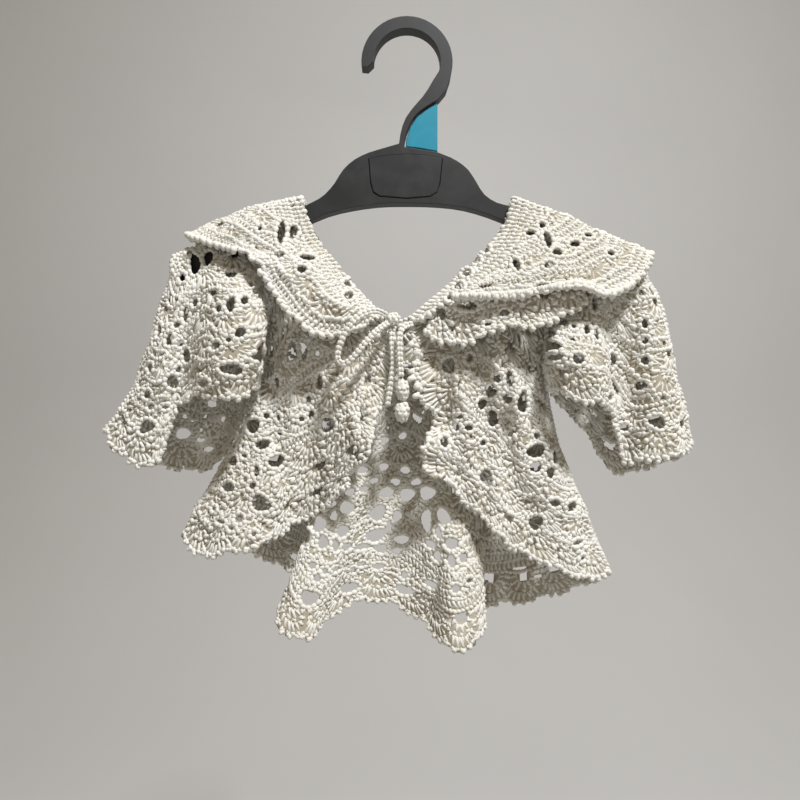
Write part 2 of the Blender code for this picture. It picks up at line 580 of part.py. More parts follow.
def hanger_outline():
    """Whole outline of the hanger, hook and neck in one, round the front face."""
    mid = (HOOK_BAR_LEFT + HOOK_BAR_RIGHT) / 4
    outer = arc(HOOK_CENTRE_Z, HOOK_RADIUS + mid, 186, -14, 26)
    inner = arc(HOOK_CENTRE_Z, HOOK_RADIUS - mid, -16, 180, 24)
    tip = arc(HOOK_CENTRE_Z, HOOK_RADIUS, 188, 188, 1)
    line = outer + list(NECK_RIGHT) + smooth_line(NECK_RIB, 9)[1:]
    line += smooth_line(SHOULDER_RIGHT, 14) + arm_tip(1)
    line += smooth_line(UNDERSIDE, 18) + arm_tip(-1)[::-1]
    line += smooth_line(SHOULDER_LEFT[::-1], 14) + smooth_line(NECK_LEFT[::-1], 9)
    return line + inner + tip


def flat_solid(name, outline, depth, centre_y, material, collection):
    """Solid of a flat outline in the XZ plane, with welded caps."""
    curve = bpy.data.curves.new(name, "CURVE")
    curve.dimensions = "2D"
    curve.fill_mode = "BOTH"
    curve.extrude = depth * MM / 2
    path = curve.splines.new("POLY")
    path.points.add(len(outline) - 1)
    for point, (x, z) in zip(path.points, outline):
        point.co = (x * MM, z * MM, 0.0, 1.0)
    path.use_cyclic_u = True
    shape = bpy.data.objects.new(name, curve)
    collection.objects.link(shape)
    shape.rotation_euler = (pi / 2, 0.0, 0.0)
    shape.location = (0.0, centre_y * MM, 0.0)
    bpy.context.view_layer.update()
    reader = shape.evaluated_get(bpy.context.evaluated_depsgraph_get())
    mesh = bpy.data.meshes.new_from_object(reader)
    work = bmesh.new()
    work.from_mesh(mesh)
    bmesh.ops.remove_doubles(work, verts=work.verts, dist=0.00001)
    bmesh.ops.recalc_face_normals(work, faces=work.faces)
    work.to_mesh(mesh)
    work.free()
    item = bpy.data.objects.new(name, mesh)
    collection.objects.link(item)
    item.matrix_world = shape.matrix_world.copy()
    bpy.data.objects.remove(shape)
    item.name = name
    mesh.materials.clear()
    mesh.materials.append(material)
    return item


def round_edges(item, width, segments):
    """Rounded edges on a flat solid."""
    bevel = item.modifiers.new("round", "BEVEL")
    bevel.width = width * MM
    bevel.segments = segments
    bevel.limit_method = "ANGLE"
    bevel.angle_limit = radians(60)
    item.data.shade_smooth()
    item.data.set_sharp_from_angle(angle=radians(40))


def inset(outline, gap):
    """Outline moved in towards its middle by a gap."""
    points = np.array(outline, float)
    middle = points.mean(axis=0)
    away = points - middle
    return [tuple(p) for p in points - gap * away / np.linalg.norm(away, axis=1, keepdims=True)]


def make_hanger(plastic, cyan, collection, cutters):
    """Hanger body with its badge plate in a recess, and the size tag in its neck."""
    hanger = flat_solid("hanger", hanger_outline(), HANGER_DEPTH, 0.0, plastic, collection)
    face = -HANGER_DEPTH / 2
    pocket = flat_solid("badge_pocket", BADGE, 2 * BADGE_RECESS, face, plastic, cutters)
    pocket.hide_render = True
    pocket.display_type = "WIRE"
    round_edges(hanger, HANGER_ROUND, 2)
    cut = hanger.modifiers.new("badge pocket", "BOOLEAN")
    cut.object = pocket
    cut.operation = "DIFFERENCE"
    plate_y = face + BADGE_RECESS - SEAM_GAP - BADGE_THICK / 2
    badge = flat_solid("badge_plate", inset(BADGE, SEAM_GAP * 1.4), BADGE_THICK, plate_y, plastic, collection)
    tag = flat_solid("size_tag", TAG, TAG_DEPTH, 0.0, cyan, collection)
    round_edges(badge, 0.4, 1)
    round_edges(tag, 0.5, 1)


def cord_object(name, route, material, collection):
    """Round cord along a smooth route."""
    points = np.array(route, float)
    knots = np.concatenate(([0.0], np.cumsum(np.linalg.norm(np.diff(points, axis=0), axis=1))))
    count = max(6, round(knots[-1] / CORD_STEP) + 1)
    places = spline(knots, points, np.linspace(0.0, knots[-1], count))
    curve = bpy.data.curves.new(name, "CURVE")
    curve.dimensions = "3D"
    curve.bevel_depth = CORD_DIAMETER * MM / 2
    curve.bevel_resolution = 2
    curve.use_fill_caps = True
    path = curve.splines.new("POLY")
    path.points.add(len(places) - 1)
    for point, place in zip(path.points, places):
        point.co = (*(place * MM), 1.0)
    curve.materials.append(material)
    item = bpy.data.objects.new(name, curve)
    collection.objects.link(item)
    return item


def bobble(name, centre, radii, material, collection):
    """Round knob of cotton."""
    mesh = bpy.data.meshes.new(name)
    work = bmesh.new()
    bmesh.ops.create_uvsphere(work, u_segments=12, v_segments=8, radius=1.0)
    bmesh.ops.scale(work, verts=work.verts, vec=[radius * MM for radius in radii])
    work.to_mesh(mesh)
    work.free()
    mesh.materials.append(material)
    mesh.shade_smooth()
    item = bpy.data.objects.new(name, mesh)
    item.location = [value * MM for value in centre]
    collection.objects.link(item)


def make_tie(cotton, collection):
    """Tie: its knot, the bow loop, two tails and the bobbles on the right tail."""
    cord_object("tie_loop", TIE_LOOP, cotton, collection)
    cord_object("tie_tail_right", TIE_TAIL_RIGHT, cotton, collection)
    cord_object("tie_tail_left", TIE_TAIL_LEFT, cotton, collection)
    bobble("tie_knot", KNOT_CENTRE, KNOT_RADII, cotton, collection)
    for name, centre, radii in BOBBLES:
        bobble(name, centre, radii, cotton, collection)


def main():
    """Build every piece of the cardigan and its hanger."""
    clear_scene()
    collection = new_collection("cardigan on hanger")
    cutters = new_collection("cutters")
    cotton = new_material("cream cotton", (0.72, 0.68, 0.58), 0.9)
    plastic = new_material("charcoal plastic", (0.045, 0.045, 0.052), 0.42)
    cyan = new_material("cyan plastic", (0.10, 0.52, 0.66), 0.4)
    make_hanger(plastic, cyan, collection, cutters)
    make_cloth(cotton, collection)
    make_tie(cotton, collection)


main()
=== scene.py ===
"""Crocheted child's cardigan with a wide folded collar, on a plastic hanger.

The cloth is laid stitch by stitch on the smooth walls that the fold tables give: twisted columns
of yarn, the chains along their tops, the nets and shells between them, and a thin felted wall
that holds each dense patch together, its colour darker than the yarn as painted shade between
the stitches. The row frame is in metres. Tables are in millimetres.
"""
import logging
from dataclasses import dataclass, field
from enum import Enum, IntEnum
from functools import partial
from math import cos, pi, radians, sin
from typing import Callable, NamedTuple, Optional, Sequence

import bpy
import numpy as np
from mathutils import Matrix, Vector, kdtree


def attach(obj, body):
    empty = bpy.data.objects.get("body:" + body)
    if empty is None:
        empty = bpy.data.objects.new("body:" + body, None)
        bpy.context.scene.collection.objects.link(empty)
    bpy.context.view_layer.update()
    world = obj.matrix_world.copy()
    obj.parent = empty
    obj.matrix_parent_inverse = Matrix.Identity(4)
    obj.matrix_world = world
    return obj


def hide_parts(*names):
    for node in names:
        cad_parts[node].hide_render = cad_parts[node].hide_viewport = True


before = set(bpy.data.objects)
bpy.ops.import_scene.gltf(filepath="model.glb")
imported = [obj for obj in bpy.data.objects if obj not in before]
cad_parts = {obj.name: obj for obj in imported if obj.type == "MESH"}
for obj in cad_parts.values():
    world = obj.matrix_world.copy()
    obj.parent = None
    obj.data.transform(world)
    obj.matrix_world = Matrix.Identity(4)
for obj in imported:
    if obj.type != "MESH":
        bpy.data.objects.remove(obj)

LOG = logging.getLogger("cardigan")
Array = np.ndarray
MM = 0.001
BODY = "root"


class Side(IntEnum):
    """Which way a piece faces: to the front of the garment or to its rear."""

    FRONT = -1
    REAR = 1


FRONT, REAR = Side.FRONT, Side.REAR

# Distance between the middles of two layers of cloth
LAYER = 2.5

# Hanger arms, as far as the cloth needs them
HANGER_CENTRE = -0.7
ARM_ROOT = 66.5
ARM_TOP = -114.5
ARM_SLOPE = 0.41

# How the cloth goes over a hanger arm: out from the seam line, and down from it
SEAM_RISE = 2.4
CREST_OUT, CREST_DOWN = 5.0, 1.0
YOKE_OUT, YOKE_DOWN = 6.4, 6.5

# Where the neck edge hangs free, its crest and yoke as shares of the way to the chest
NECK_CREST, NECK_YOKE = 0.05, 0.14

# Shares down a panel of its seam, crest, yoke, chest, waist and hem, and across the collar
STATIONS = (0.0, 0.022, 0.055, 0.33, 0.58, 1.0)
COLLAR_STATIONS = (0.0, 0.5, 1.0)

# Columns: their spacing, and each strand's half thickness and distance from the twist's middle
GAUGE = 3.0
STRAND = 1.0
TWIST_OUT = 0.74

# Chains: length and half thickness of a link
BEAD_LENGTH = 3.8
BEAD_THICK = 1.55

# Felted wall: thickness, size of its mesh, and how far it reaches from a stitch
WALL = 0.6
WALL_CELL = 2.2
WALL_REACH = 2.0


class Fold(NamedTuple):
    """One fold line of a panel, from its top edge down to its hem.

    The top is a point, or only its x where it lies on the shoulder seam over the hanger's arm.
    """

    name: str
    top: float | tuple
    chest: tuple
    waist: tuple
    hem: tuple


class NeckRow(NamedTuple):
    """One place along the back's top edge: its share of the width, the edge and the chest.

    The top is a point, or only its x where it lies on the shoulder seam over the hanger's arm.
    """

    name: str
    share: float
    top: float | tuple
    chest: tuple


class HemFold(NamedTuple):
    """One fold of the back's hem: its share of the waist, its depth there, and the hem."""

    name: str
    share: float
    waist_y: float
    hem: tuple


class Rib(NamedTuple):
    """One line across the collar, from the neck edge over its crest to the outer edge."""

    name: str
    neck: tuple
    crest: tuple
    edge: tuple


def arm_top(x: float) -> float:
    """Height of a hanger arm's top edge at x."""
    return ARM_TOP - ARM_SLOPE * (abs(x - HANGER_CENTRE) - ARM_ROOT)


def on_arm(x: float, side: int, layer: float = 0) -> tuple:
    """Point of a shoulder seam on the hanger arm, on the front or the rear of it."""
    return (x, side * LAYER / 2, arm_top(x) + SEAM_RISE + layer * LAYER)


def over_arm(x: float, side: int, layer: float = 0) -> tuple:
    """Point where the cloth turns down over the arm's edge, with some layers under it."""
    out = CREST_OUT + layer * LAYER
    return (x, side * out, arm_top(x) + SEAM_RISE - CREST_DOWN + 0.7 * layer * LAYER)


def seam_point(top: float | tuple, side: int) -> tuple:
    """Top of a fold line, from a table's point or its x alone."""
    return top if isinstance(top, tuple) else on_arm(top, side)


FRONT_LEFT = (
    Fold("side seam", -105, (-88, -9, -180), (-97, -1.3, -231), (-147, -1.3, -328)),
    Fold("side ridge", -99, (-84.5, -11, -181), (-90, -9, -235), (-131, -15, -337)),
    Fold("outer ridge", -92, (-80, -12, -182), (-82, -14, -238), (-112, -26, -333)),
    Fold("front ridge", -84, (-75, -14, -183), (-72, -17, -241), (-92, -27, -328)),
    Fold("valley", -76, (-70, -14, -185), (-61, -12, -246), (-76, -15, -321)),
    Fold("neck seam", -68, (-65, -14, -187), (-54, -15, -249), (-68, -13, -318)),
    Fold("neck corner", over_arm(-67, FRONT), (-60, -15, -189), (-49, -18, -251), (-62, -12, -315)),
    Fold("neck front", (-64.8, -6.8, -122), (-53, -15, -192), (-45, -20, -253), (-58, -13, -312)),
    Fold("strand fold", (-52, -9.6, -146), (-40, -14, -200), (-38, -23, -257), (-53, -17, -307)),
    Fold("flap", (-35, -11.4, -167), (-24, -14, -209), (-30, -28, -261), (-47.5, -21, -301)),
    Fold("front edge", (-15, -11.5, -189), (-8, -14, -222), (-24, -31, -266), (-41, -22, -294)),
)

FRONT_RIGHT = (
    Fold("front edge", (3, -11.5, -190), (0, -25, -223), (13, -19, -250), (5, -29, -281)),
    Fold("flap", (14, -12.5, -181), (19, -17, -212), (24, -15, -246), (21, -25, -289)),
    Fold("front fold", (29, -12, -167), (33, -18, -210), (35, -21, -247), (35, -16, -304)),
    Fold("valley", (45, -10.5, -150), (45, -14, -208), (47, -12, -248), (47, -20, -313)),
    Fold("neck front", (63, -6.8, -124), (55, -22, -205), (56, -17, -247), (57, -23, -325)),
    Fold("neck corner", over_arm(66, FRONT), (59, -20, -204), (60, -19, -246), (64, -18, -332)),
    Fold("neck seam", 67, (64, -18, -201), (66, -21, -245), (73, -13, -337)),
    Fold("outer ridge", 79, (71, -15, -196), (76, -11, -241), (90, -18, -343)),
    Fold("side ridge", 92, (79, -11, -189), (83, -9, -236), (112, -13, -352)),
    Fold("side seam", 104, (87, -9, -182), (89, -1.3, -233), (131, -1.3, -353)),
)

BACK_NECK = (
    NeckRow("left side", 0.00, -105, (-90, 9, -181)),
    NeckRow("left shoulder", 0.10, -86, (-79, 11, -183)),
    NeckRow("left neck seam", 0.19, -68, (-68, 12, -186)),
    NeckRow("left corner", 0.22, over_arm(-67, REAR), (-63, 12, -187)),
    NeckRow("left rear", 0.25, (-64.3, 6.6, -124), (-56, 13, -190)),
    NeckRow("left slope", 0.34, (-44, 9.8, -155), (-38, 14, -200)),
    NeckRow("left dip", 0.43, (-21, 12, -180), (-17, 15, -209)),
    NeckRow("centre", 0.50, (-4, 12, -186), (-2, 15, -211)),
    NeckRow("right dip", 0.58, (17, 12, -172), (15, 15, -208)),
    NeckRow("right slope", 0.67, (41, 9.8, -151), (37, 14, -200)),
    NeckRow("right rear", 0.75, (62.5, 6.6, -125), (55, 13, -191)),
    NeckRow("right corner", 0.78, over_arm(66, REAR), (62, 12, -188)),
    NeckRow("right neck seam", 0.81, 67, (67, 12, -186)),
    NeckRow("right shoulder", 0.90, 86, (78, 11, -184)),
    NeckRow("right side", 1.00, 104, (89, 9, -182)),
)

BACK_HEM = (
    HemFold("left seam", 0.00, 1.3, (-147, 1.3, -328)),
    HemFold("left side", 0.06, 10, (-130, 17, -338)),
    HemFold("left rear", 0.12, 14, (-107, 20, -346)),
    HemFold("left turn", 0.18, 13, (-85, 15, -352)),
    HemFold("left inner", 0.23, 10, (-70, 0, -359)),
    HemFold("left fold", 0.28, 8, (-80, -17, -371)),
    HemFold("left front", 0.33, 7, (-75, -28, -380)),
    HemFold("left corner", 0.38, 7, (-60, -27, -384)),
    HemFold("left rise", 0.43, 10, (-49, -12, -376)),
    HemFold("wave valley", 0.48, 14, (-35, -1, -372)),
    HemFold("wave centre", 0.53, 16, (-17, 3, -371)),
    HemFold("wave right", 0.58, 14, (1, -2, -377)),
    HemFold("right fall", 0.63, 9, (15, -13, -383)),
    HemFold("right corner", 0.68, 6, (27, -27, -390)),
    HemFold("right front", 0.73, 7, (42, -25, -386)),
    HemFold("right fold", 0.78, 10, (47, -10, -377)),
    HemFold("right inner", 0.83, 14, (38, 7, -374)),
    HemFold("right turn", 0.88, 15, (54, 17, -379)),
    HemFold("right rear", 0.93, 13, (84, 19, -376)),
    HemFold("right side", 0.97, 9, (111, 13, -367)),
    HemFold("right seam", 1.00, 1.3, (131, 1.3, -353)),
)
BACK_CORNERS = (0.19, 0.22, 0.25, 0.75, 0.78, 0.81)
BACK_WAIST_LEFT, BACK_WAIST_RIGHT = (-97, -231), (89, -233)
BACK_WAIST_DROP = 20

SLEEVE_LEFT_FRONT = (
    Fold("armhole", -107.4, (-89, -11.6, -180), (-93, -8, -215), (-97, -4, -229)),
    Fold("bulge inner", -112, (-88, -26, -181), (-89, -33, -211), (-95, -29, -235)),
    Fold("bulge", -118, (-101, -34, -182), (-103, -40, -214), (-106, -36, -240)),
    Fold("bulge outer", -124, (-120, -27, -181), (-122, -32, -211), (-127, -29, -237)),
    Fold("valley", -131, (-135, -14, -181), (-140, -14, -217), (-146, -15, -252)),
    Fold("outer ridge", -138, (-145, -12, -182), (-153, -16, -226), (-159, -16, -281)),
    Fold("outer", -145, (-153, -8, -179), (-167, -10, -224), (-180, -12, -276)),
    Fold("outer fold", -151, (-158, -1.3, -174), (-177, -1.3, -231), (-198, -1.3, -260)),
)

SLEEVE_LEFT_BACK = (
    Fold("outer fold", -151, (-158, 1.3, -174), (-177, 1.3, -231), (-198, 1.3, -260)),
    Fold("outer", -144, (-150, 9, -179), (-164, 10, -226), (-183, 9, -280)),
    Fold("rear", -134, (-138, 12, -181), (-147, 14, -228), (-163, 13, -284)),
    Fold("rear valley", -125, (-124, 13, -181), (-131, 16, -227), (-147, 15, -287)),
    Fold("rear inner", -116, (-108, 13, -181), (-114, 14, -223), (-127, 12, -281)),
    Fold("armhole", -107.4, (-91, 11.6, -181), (-94, 8, -216), (-98, 4, -229)),
)

SLEEVE_RIGHT_FRONT = (
    Fold("armhole", 106.4, (87, -11.8, -182), (86, -10, -215), (89, -5.5, -230)),
    Fold("bulge inner", 111, (88, -18, -188), (87, -27, -213), (92, -26, -236)),
    Fold("bulge", 117, (100, -21, -190), (100, -34, -217), (104, -32, -241)),
    Fold("bulge outer", 123, (116, -18, -190), (118, -26, -218), (119, -25, -243)),
    Fold("valley", 128, (129, -9, -184), (131, -7, -220), (133, -8, -262)),
    Fold("valley outer", 133, (141, -10, -180), (143, -8, -222), (137, -10, -279)),
    Fold("outer ridge", 139, (150, -12, -180), (153, -16, -223), (149, -19, -277)),
    Fold("outer", 145, (157, -9, -177), (166, -12, -228), (168, -15, -275)),
    Fold("outer fold", 151, (162, -1.3, -175), (174, -1.3, -227), (184, -1.3, -269)),
)

SLEEVE_RIGHT_BACK = (
    Fold("armhole", 106.4, (90, 11.6, -182), (88, 8, -216), (90, 4, -231)),
    Fold("rear inner", 114, (104, 13, -181), (108, 14, -222), (118, 12, -258)),
    Fold("rear valley", 124, (122, 14, -180), (128, 16, -226), (139, 14, -288)),
    Fold("rear", 134, (139, 13, -178), (147, 15, -227), (157, 13, -286)),
    Fold("outer", 144, (153, 9, -177), (165, 10, -228), (177, 9, -279)),
    Fold("outer fold", 151, (162, 1.3, -175), (174, 1.3, -227), (184, 1.3, -269)),
)

COLLAR_LEFT = (
    Rib("ridge", on_arm(-68, FRONT, 1.4), (-105, -1.3, -117), (-142, -1.3, -132)),
    Rib("over", over_arm(-67, FRONT, 1.4), (-103, -9, -120), (-137, -8, -136)),
    Rib("shoulder", (-65, -9.8, -120), (-98, -17, -128), (-128, -15, -140)),
    Rib("stretched", (-59, -11.2, -136), (-88, -22, -141), (-113, -20, -145)),
    Rib("upper", (-52, -12.5, -146), (-79, -26, -150), (-101, -25, -151)),
    Rib("chest", (-44, -13.5, -155), (-70, -29, -158), (-89, -29, -161)),
    Rib("mid", (-36, -14.2, -165), (-60, -31, -168), (-79, -31, -175)),
    Rib("lower", (-29, -14.4, -174), (-51, -31, -177), (-68, -32, -189)),
    Rib("scallop", (-23, -14.4, -180), (-40, -29, -184), (-52, -30, -200)),
    Rib("tip", (-18, -14.5, -185), (-29, -23, -188), (-37, -25, -197)),
    Rib("tie end", (-13.2, -15.4, -188.4), (-19.5, -18, -189), (-26, -20, -193)),
)

COLLAR_RIGHT = (
    Rib("tie end", (1, -15, -189), (4, -17, -190), (7, -19, -190.5)),
    Rib("tip", (11, -15.5, -180), (17, -23, -181), (23, -28, -182)),
    Rib("lower", (22, -15.5, -171), (33, -29, -175), (46, -34, -180)),
    Rib("mid", (31, -15, -162), (49, -31, -170), (71, -35, -177)),
    Rib("chest", (39, -14, -154), (62, -30, -165), (92, -34, -173)),
    Rib("upper", (48, -12.8, -145), (73, -28, -156), (107, -32, -174)),
    Rib("pleat", (56, -11.3, -136), (83, -24, -146), (118, -28, -176)),
    Rib("shoulder", (64, -9.8, -121), (93, -18, -136), (129, -24, -172)),
    Rib("fall", (65.3, -9.2, -116.5), (100, -14, -130.5), (143, -18, -162)),
    Rib("over", over_arm(66, FRONT, 1.4), (105, -8.8, -125.2), (153, -9, -147.5)),
    Rib("ridge", on_arm(67, FRONT, 1.4), (108, -1.3, -125), (156, -1.3, -145)),
)

COLLAR_BACK = (
    Rib("left ridge", on_arm(-68, REAR, 1.4), (-105, 1.3, -117), (-142, 1.3, -132)),
    Rib("left over", over_arm(-67, REAR, 1.4), (-103, 9, -121), (-137, 9, -138)),
    Rib("left shoulder", (-65, 9.8, -123), (-97, 18, -132), (-126, 19, -148)),
    Rib("left slope", (-46, 13, -152), (-78, 25, -157), (-100, 27, -176)),
    Rib("left dip", (-23, 15, -177), (-46, 27, -182), (-60, 30, -205)),
    Rib("left centre", (-10, 15, -185), (-21, 28, -195), (-28, 31, -224)),
    Rib("centre", (-2, 15, -185), (-1, 28, -198), (0, 31, -232)),
    Rib("right centre", (9, 15, -178), (19, 28, -193), (30, 31, -223)),
    Rib("right dip", (23, 15, -167), (45, 27, -179), (62, 30, -204)),
    Rib("right slope", (44, 13, -148), (77, 25, -156), (103, 27, -178)),
    Rib("right shoulder", (64, 9.8, -124), (98, 18, -137), (132, 21, -166)),
    Rib("right fall", (65.3, 9.2, -117.5), (101, 14, -131), (145, 17, -158)),
    Rib("right over", over_arm(66, REAR, 1.4), (105, 8.8, -125.2), (153, 9, -147.5)),
    Rib("right ridge", on_arm(67, REAR, 1.4), (108, 1.3, -125), (156, 1.3, -145)),
)

# The right collar's lower frill comes out from under it. Shares are along and across it.
FRILL_CLEARANCE = 0.4
FRILL_START, FRILL_END, FRILL_ROOT = 0.12, 0.78, 0.40
FRILL_EDGE = (
    ("tie end", (9, -22, -199)),
    ("first shell", (20, -27, -205.5)),
    ("second shell", (36, -30, -206)),
    ("notch", (49, -31, -199)),
    ("third shell", (62, -31, -196)),
    ("fourth shell", (74, -31, -197)),
    ("fifth shell", (86, -30, -193)),
    ("sixth shell", (98, -28, -187)),
    ("shoulder end", (109, -25, -181)),
)

TIE_LOOP = (
    (-13.0, -22.5, -187.8), (-19.5, -28.6, -185.6), (-27.0, -32.0, -188.2), (-33.0, -34.0, -193.0),
    (-38.5, -34.5, -201.5), (-41.6, -34.5, -210.0), (-42.2, -34.5, -214.6), (-40.4, -34.5, -218.0),
    (-37.2, -34.5, -217.9), (-32.5, -34.5, -213.5), (-25.5, -33.0, -205.0), (-18.5, -29.0, -197.0),
    (-12.0, -23.2, -192.0),
)
TIE_TAIL_RIGHT = (
    (3.0, -17.2, -192.0), (0.0, -19.6, -193.0), (-3.2, -22.6, -194.8), (-5.2, -24.0, -198.0),
    (-5.6, -25.0, -204.0), (-5.4, -25.6, -211.0), (-5.0, -26.0, -218.0), (-4.6, -26.2, -225.4),
)
TIE_TAIL_LEFT = (
    (-9.6, -19.4, -194.2), (-10.2, -20.4, -199.0), (-10.0, -21.4, -206.0), (-9.4, -21.6, -213.0),
    (-9.8, -21.8, -221.0), (-10.8, -21.8, -229.0), (-12.0, -21.8, -236.0), (-12.6, -21.8, -243.0),
)
KNOT_CENTRE, KNOT_RADII = (-9.4, -19.6, -189.6), (4.6, 4.4, 4.3)
BOBBLES = (
    ("tie_bobble_upper", (-3.6, -27.0, -233.4), (4.4, 4.1, 7.0)),
    ("tie_bobble_lower", (-4.0, -27.0, -246.4), (5.1, 4.4, 6.6)),
)


class Crease(NamedTuple):
    """A fold of the cloth drawn in the picture plane, as x and z in millimetres.

    A step stands out on the left of its line, over twice its edge, and sinks back within its
    width. A ridge, or a groove where the rise is negative, lies along its line and has no edge.
    """

    line: tuple
    rise: float
    width: float
    edge: float = 0.0


# Folds too small for the tables above, by piece
CREASES = {
    "collar_left": (
        Crease(((-18.7, -184.5), (-37.2, -184.5), (-54.4, -174.0), (-67.9, -166.0), (-83.9, -154.3),
                (-103.8, -148.8)), 1.7, 8.0, 1.6),
        Crease(((-78.4, -129.0), (-66.7, -154.3)), -2.2, 2.6),
        Crease(((-71.0, -123.0), (-61.2, -150.0)), -1.8, 2.4),
        Crease(((-84.5, -126.0), (-77.0, -150.0)), 1.3, 2.6),
    ),
    "collar_right": (
        Crease(((66.8, -143.9), (63.7, -158.0), (52.6, -168.5), (42.8, -177.7), (28.6, -178.9),
                (20.6, -184.5)), 2.8, 10.0, 1.0),
        Crease(((56.3, -183.0), (81.5, -171.0), (102.4, -167.2), (122.0, -166.0)), -2.0, 2.2),
        Crease(((74.0, -128.0), (66.0, -160.0)), -1.6, 3.0),
    ),
    "collar_right_frill": (
        Crease(((14.0, -186.0), (36.0, -183.0), (60.0, -180.5), (85.0, -178.0), (105.0, -174.0)),
               3.8, 4.5),
    ),
    "front_left": (
        Crease(((-97.0, -243.0), (-108.0, -285.0), (-118.0, -320.0)), 2.4, 6.0),
        Crease(((-93.0, -226.0), (-90.0, -251.0), (-88.9, -264.0), (-80.8, -277.6), (-76.5, -291.3),
                (-72.0, -325.0)), -7.5, 24.0, 4.5),
        Crease(((-70.0, -200.0), (-72.0, -228.0)), 2.0, 3.0),
    ),
    "front_right": (
        Crease(((58.0, -245.0), (60.0, -258.0), (64.2, -282.6), (74.2, -307.4), (88.0, -333.0)),
               -5.5, 9.0),
        Crease(((76.0, -226.0), (92.0, -285.0), (108.0, -325.0)), 2.2, 6.0),
        Crease(((64.5, -222.0), (66.0, -252.0)), 1.8, 2.6),
    ),
    "back": (
        Crease(((33.0, -394.0), (31.0, -316.0)), -5.0, 22.0, 5.0),
    ),
    "sleeve_left_front": (
        Crease(((-122.0, -170.0), (-128.0, -215.0), (-134.0, -240.0)), -2.2, 6.0),
        Crease(((-146.0, -190.0), (-156.0, -240.0)), 1.8, 6.0),
    ),
    "sleeve_right_front": (
        Crease(((124.0, -185.0), (126.0, -240.0)), -2.2, 6.0),
        Crease(((142.0, -180.0), (150.0, -250.0)), 1.8, 6.0),
    ),
}

# Crests of rolled edges that carry the edge's little bumps, by piece
BUMPED = {
    "collar_right": ((27.2, -177.8), (46.7, -177.8), (67.5, -175.9), (85.6, -172.6), (98.5, -170.3),
                     (109.0, -172.0), (119.4, -175.9), (129.6, -172.6), (141.3, -165.5)),
}

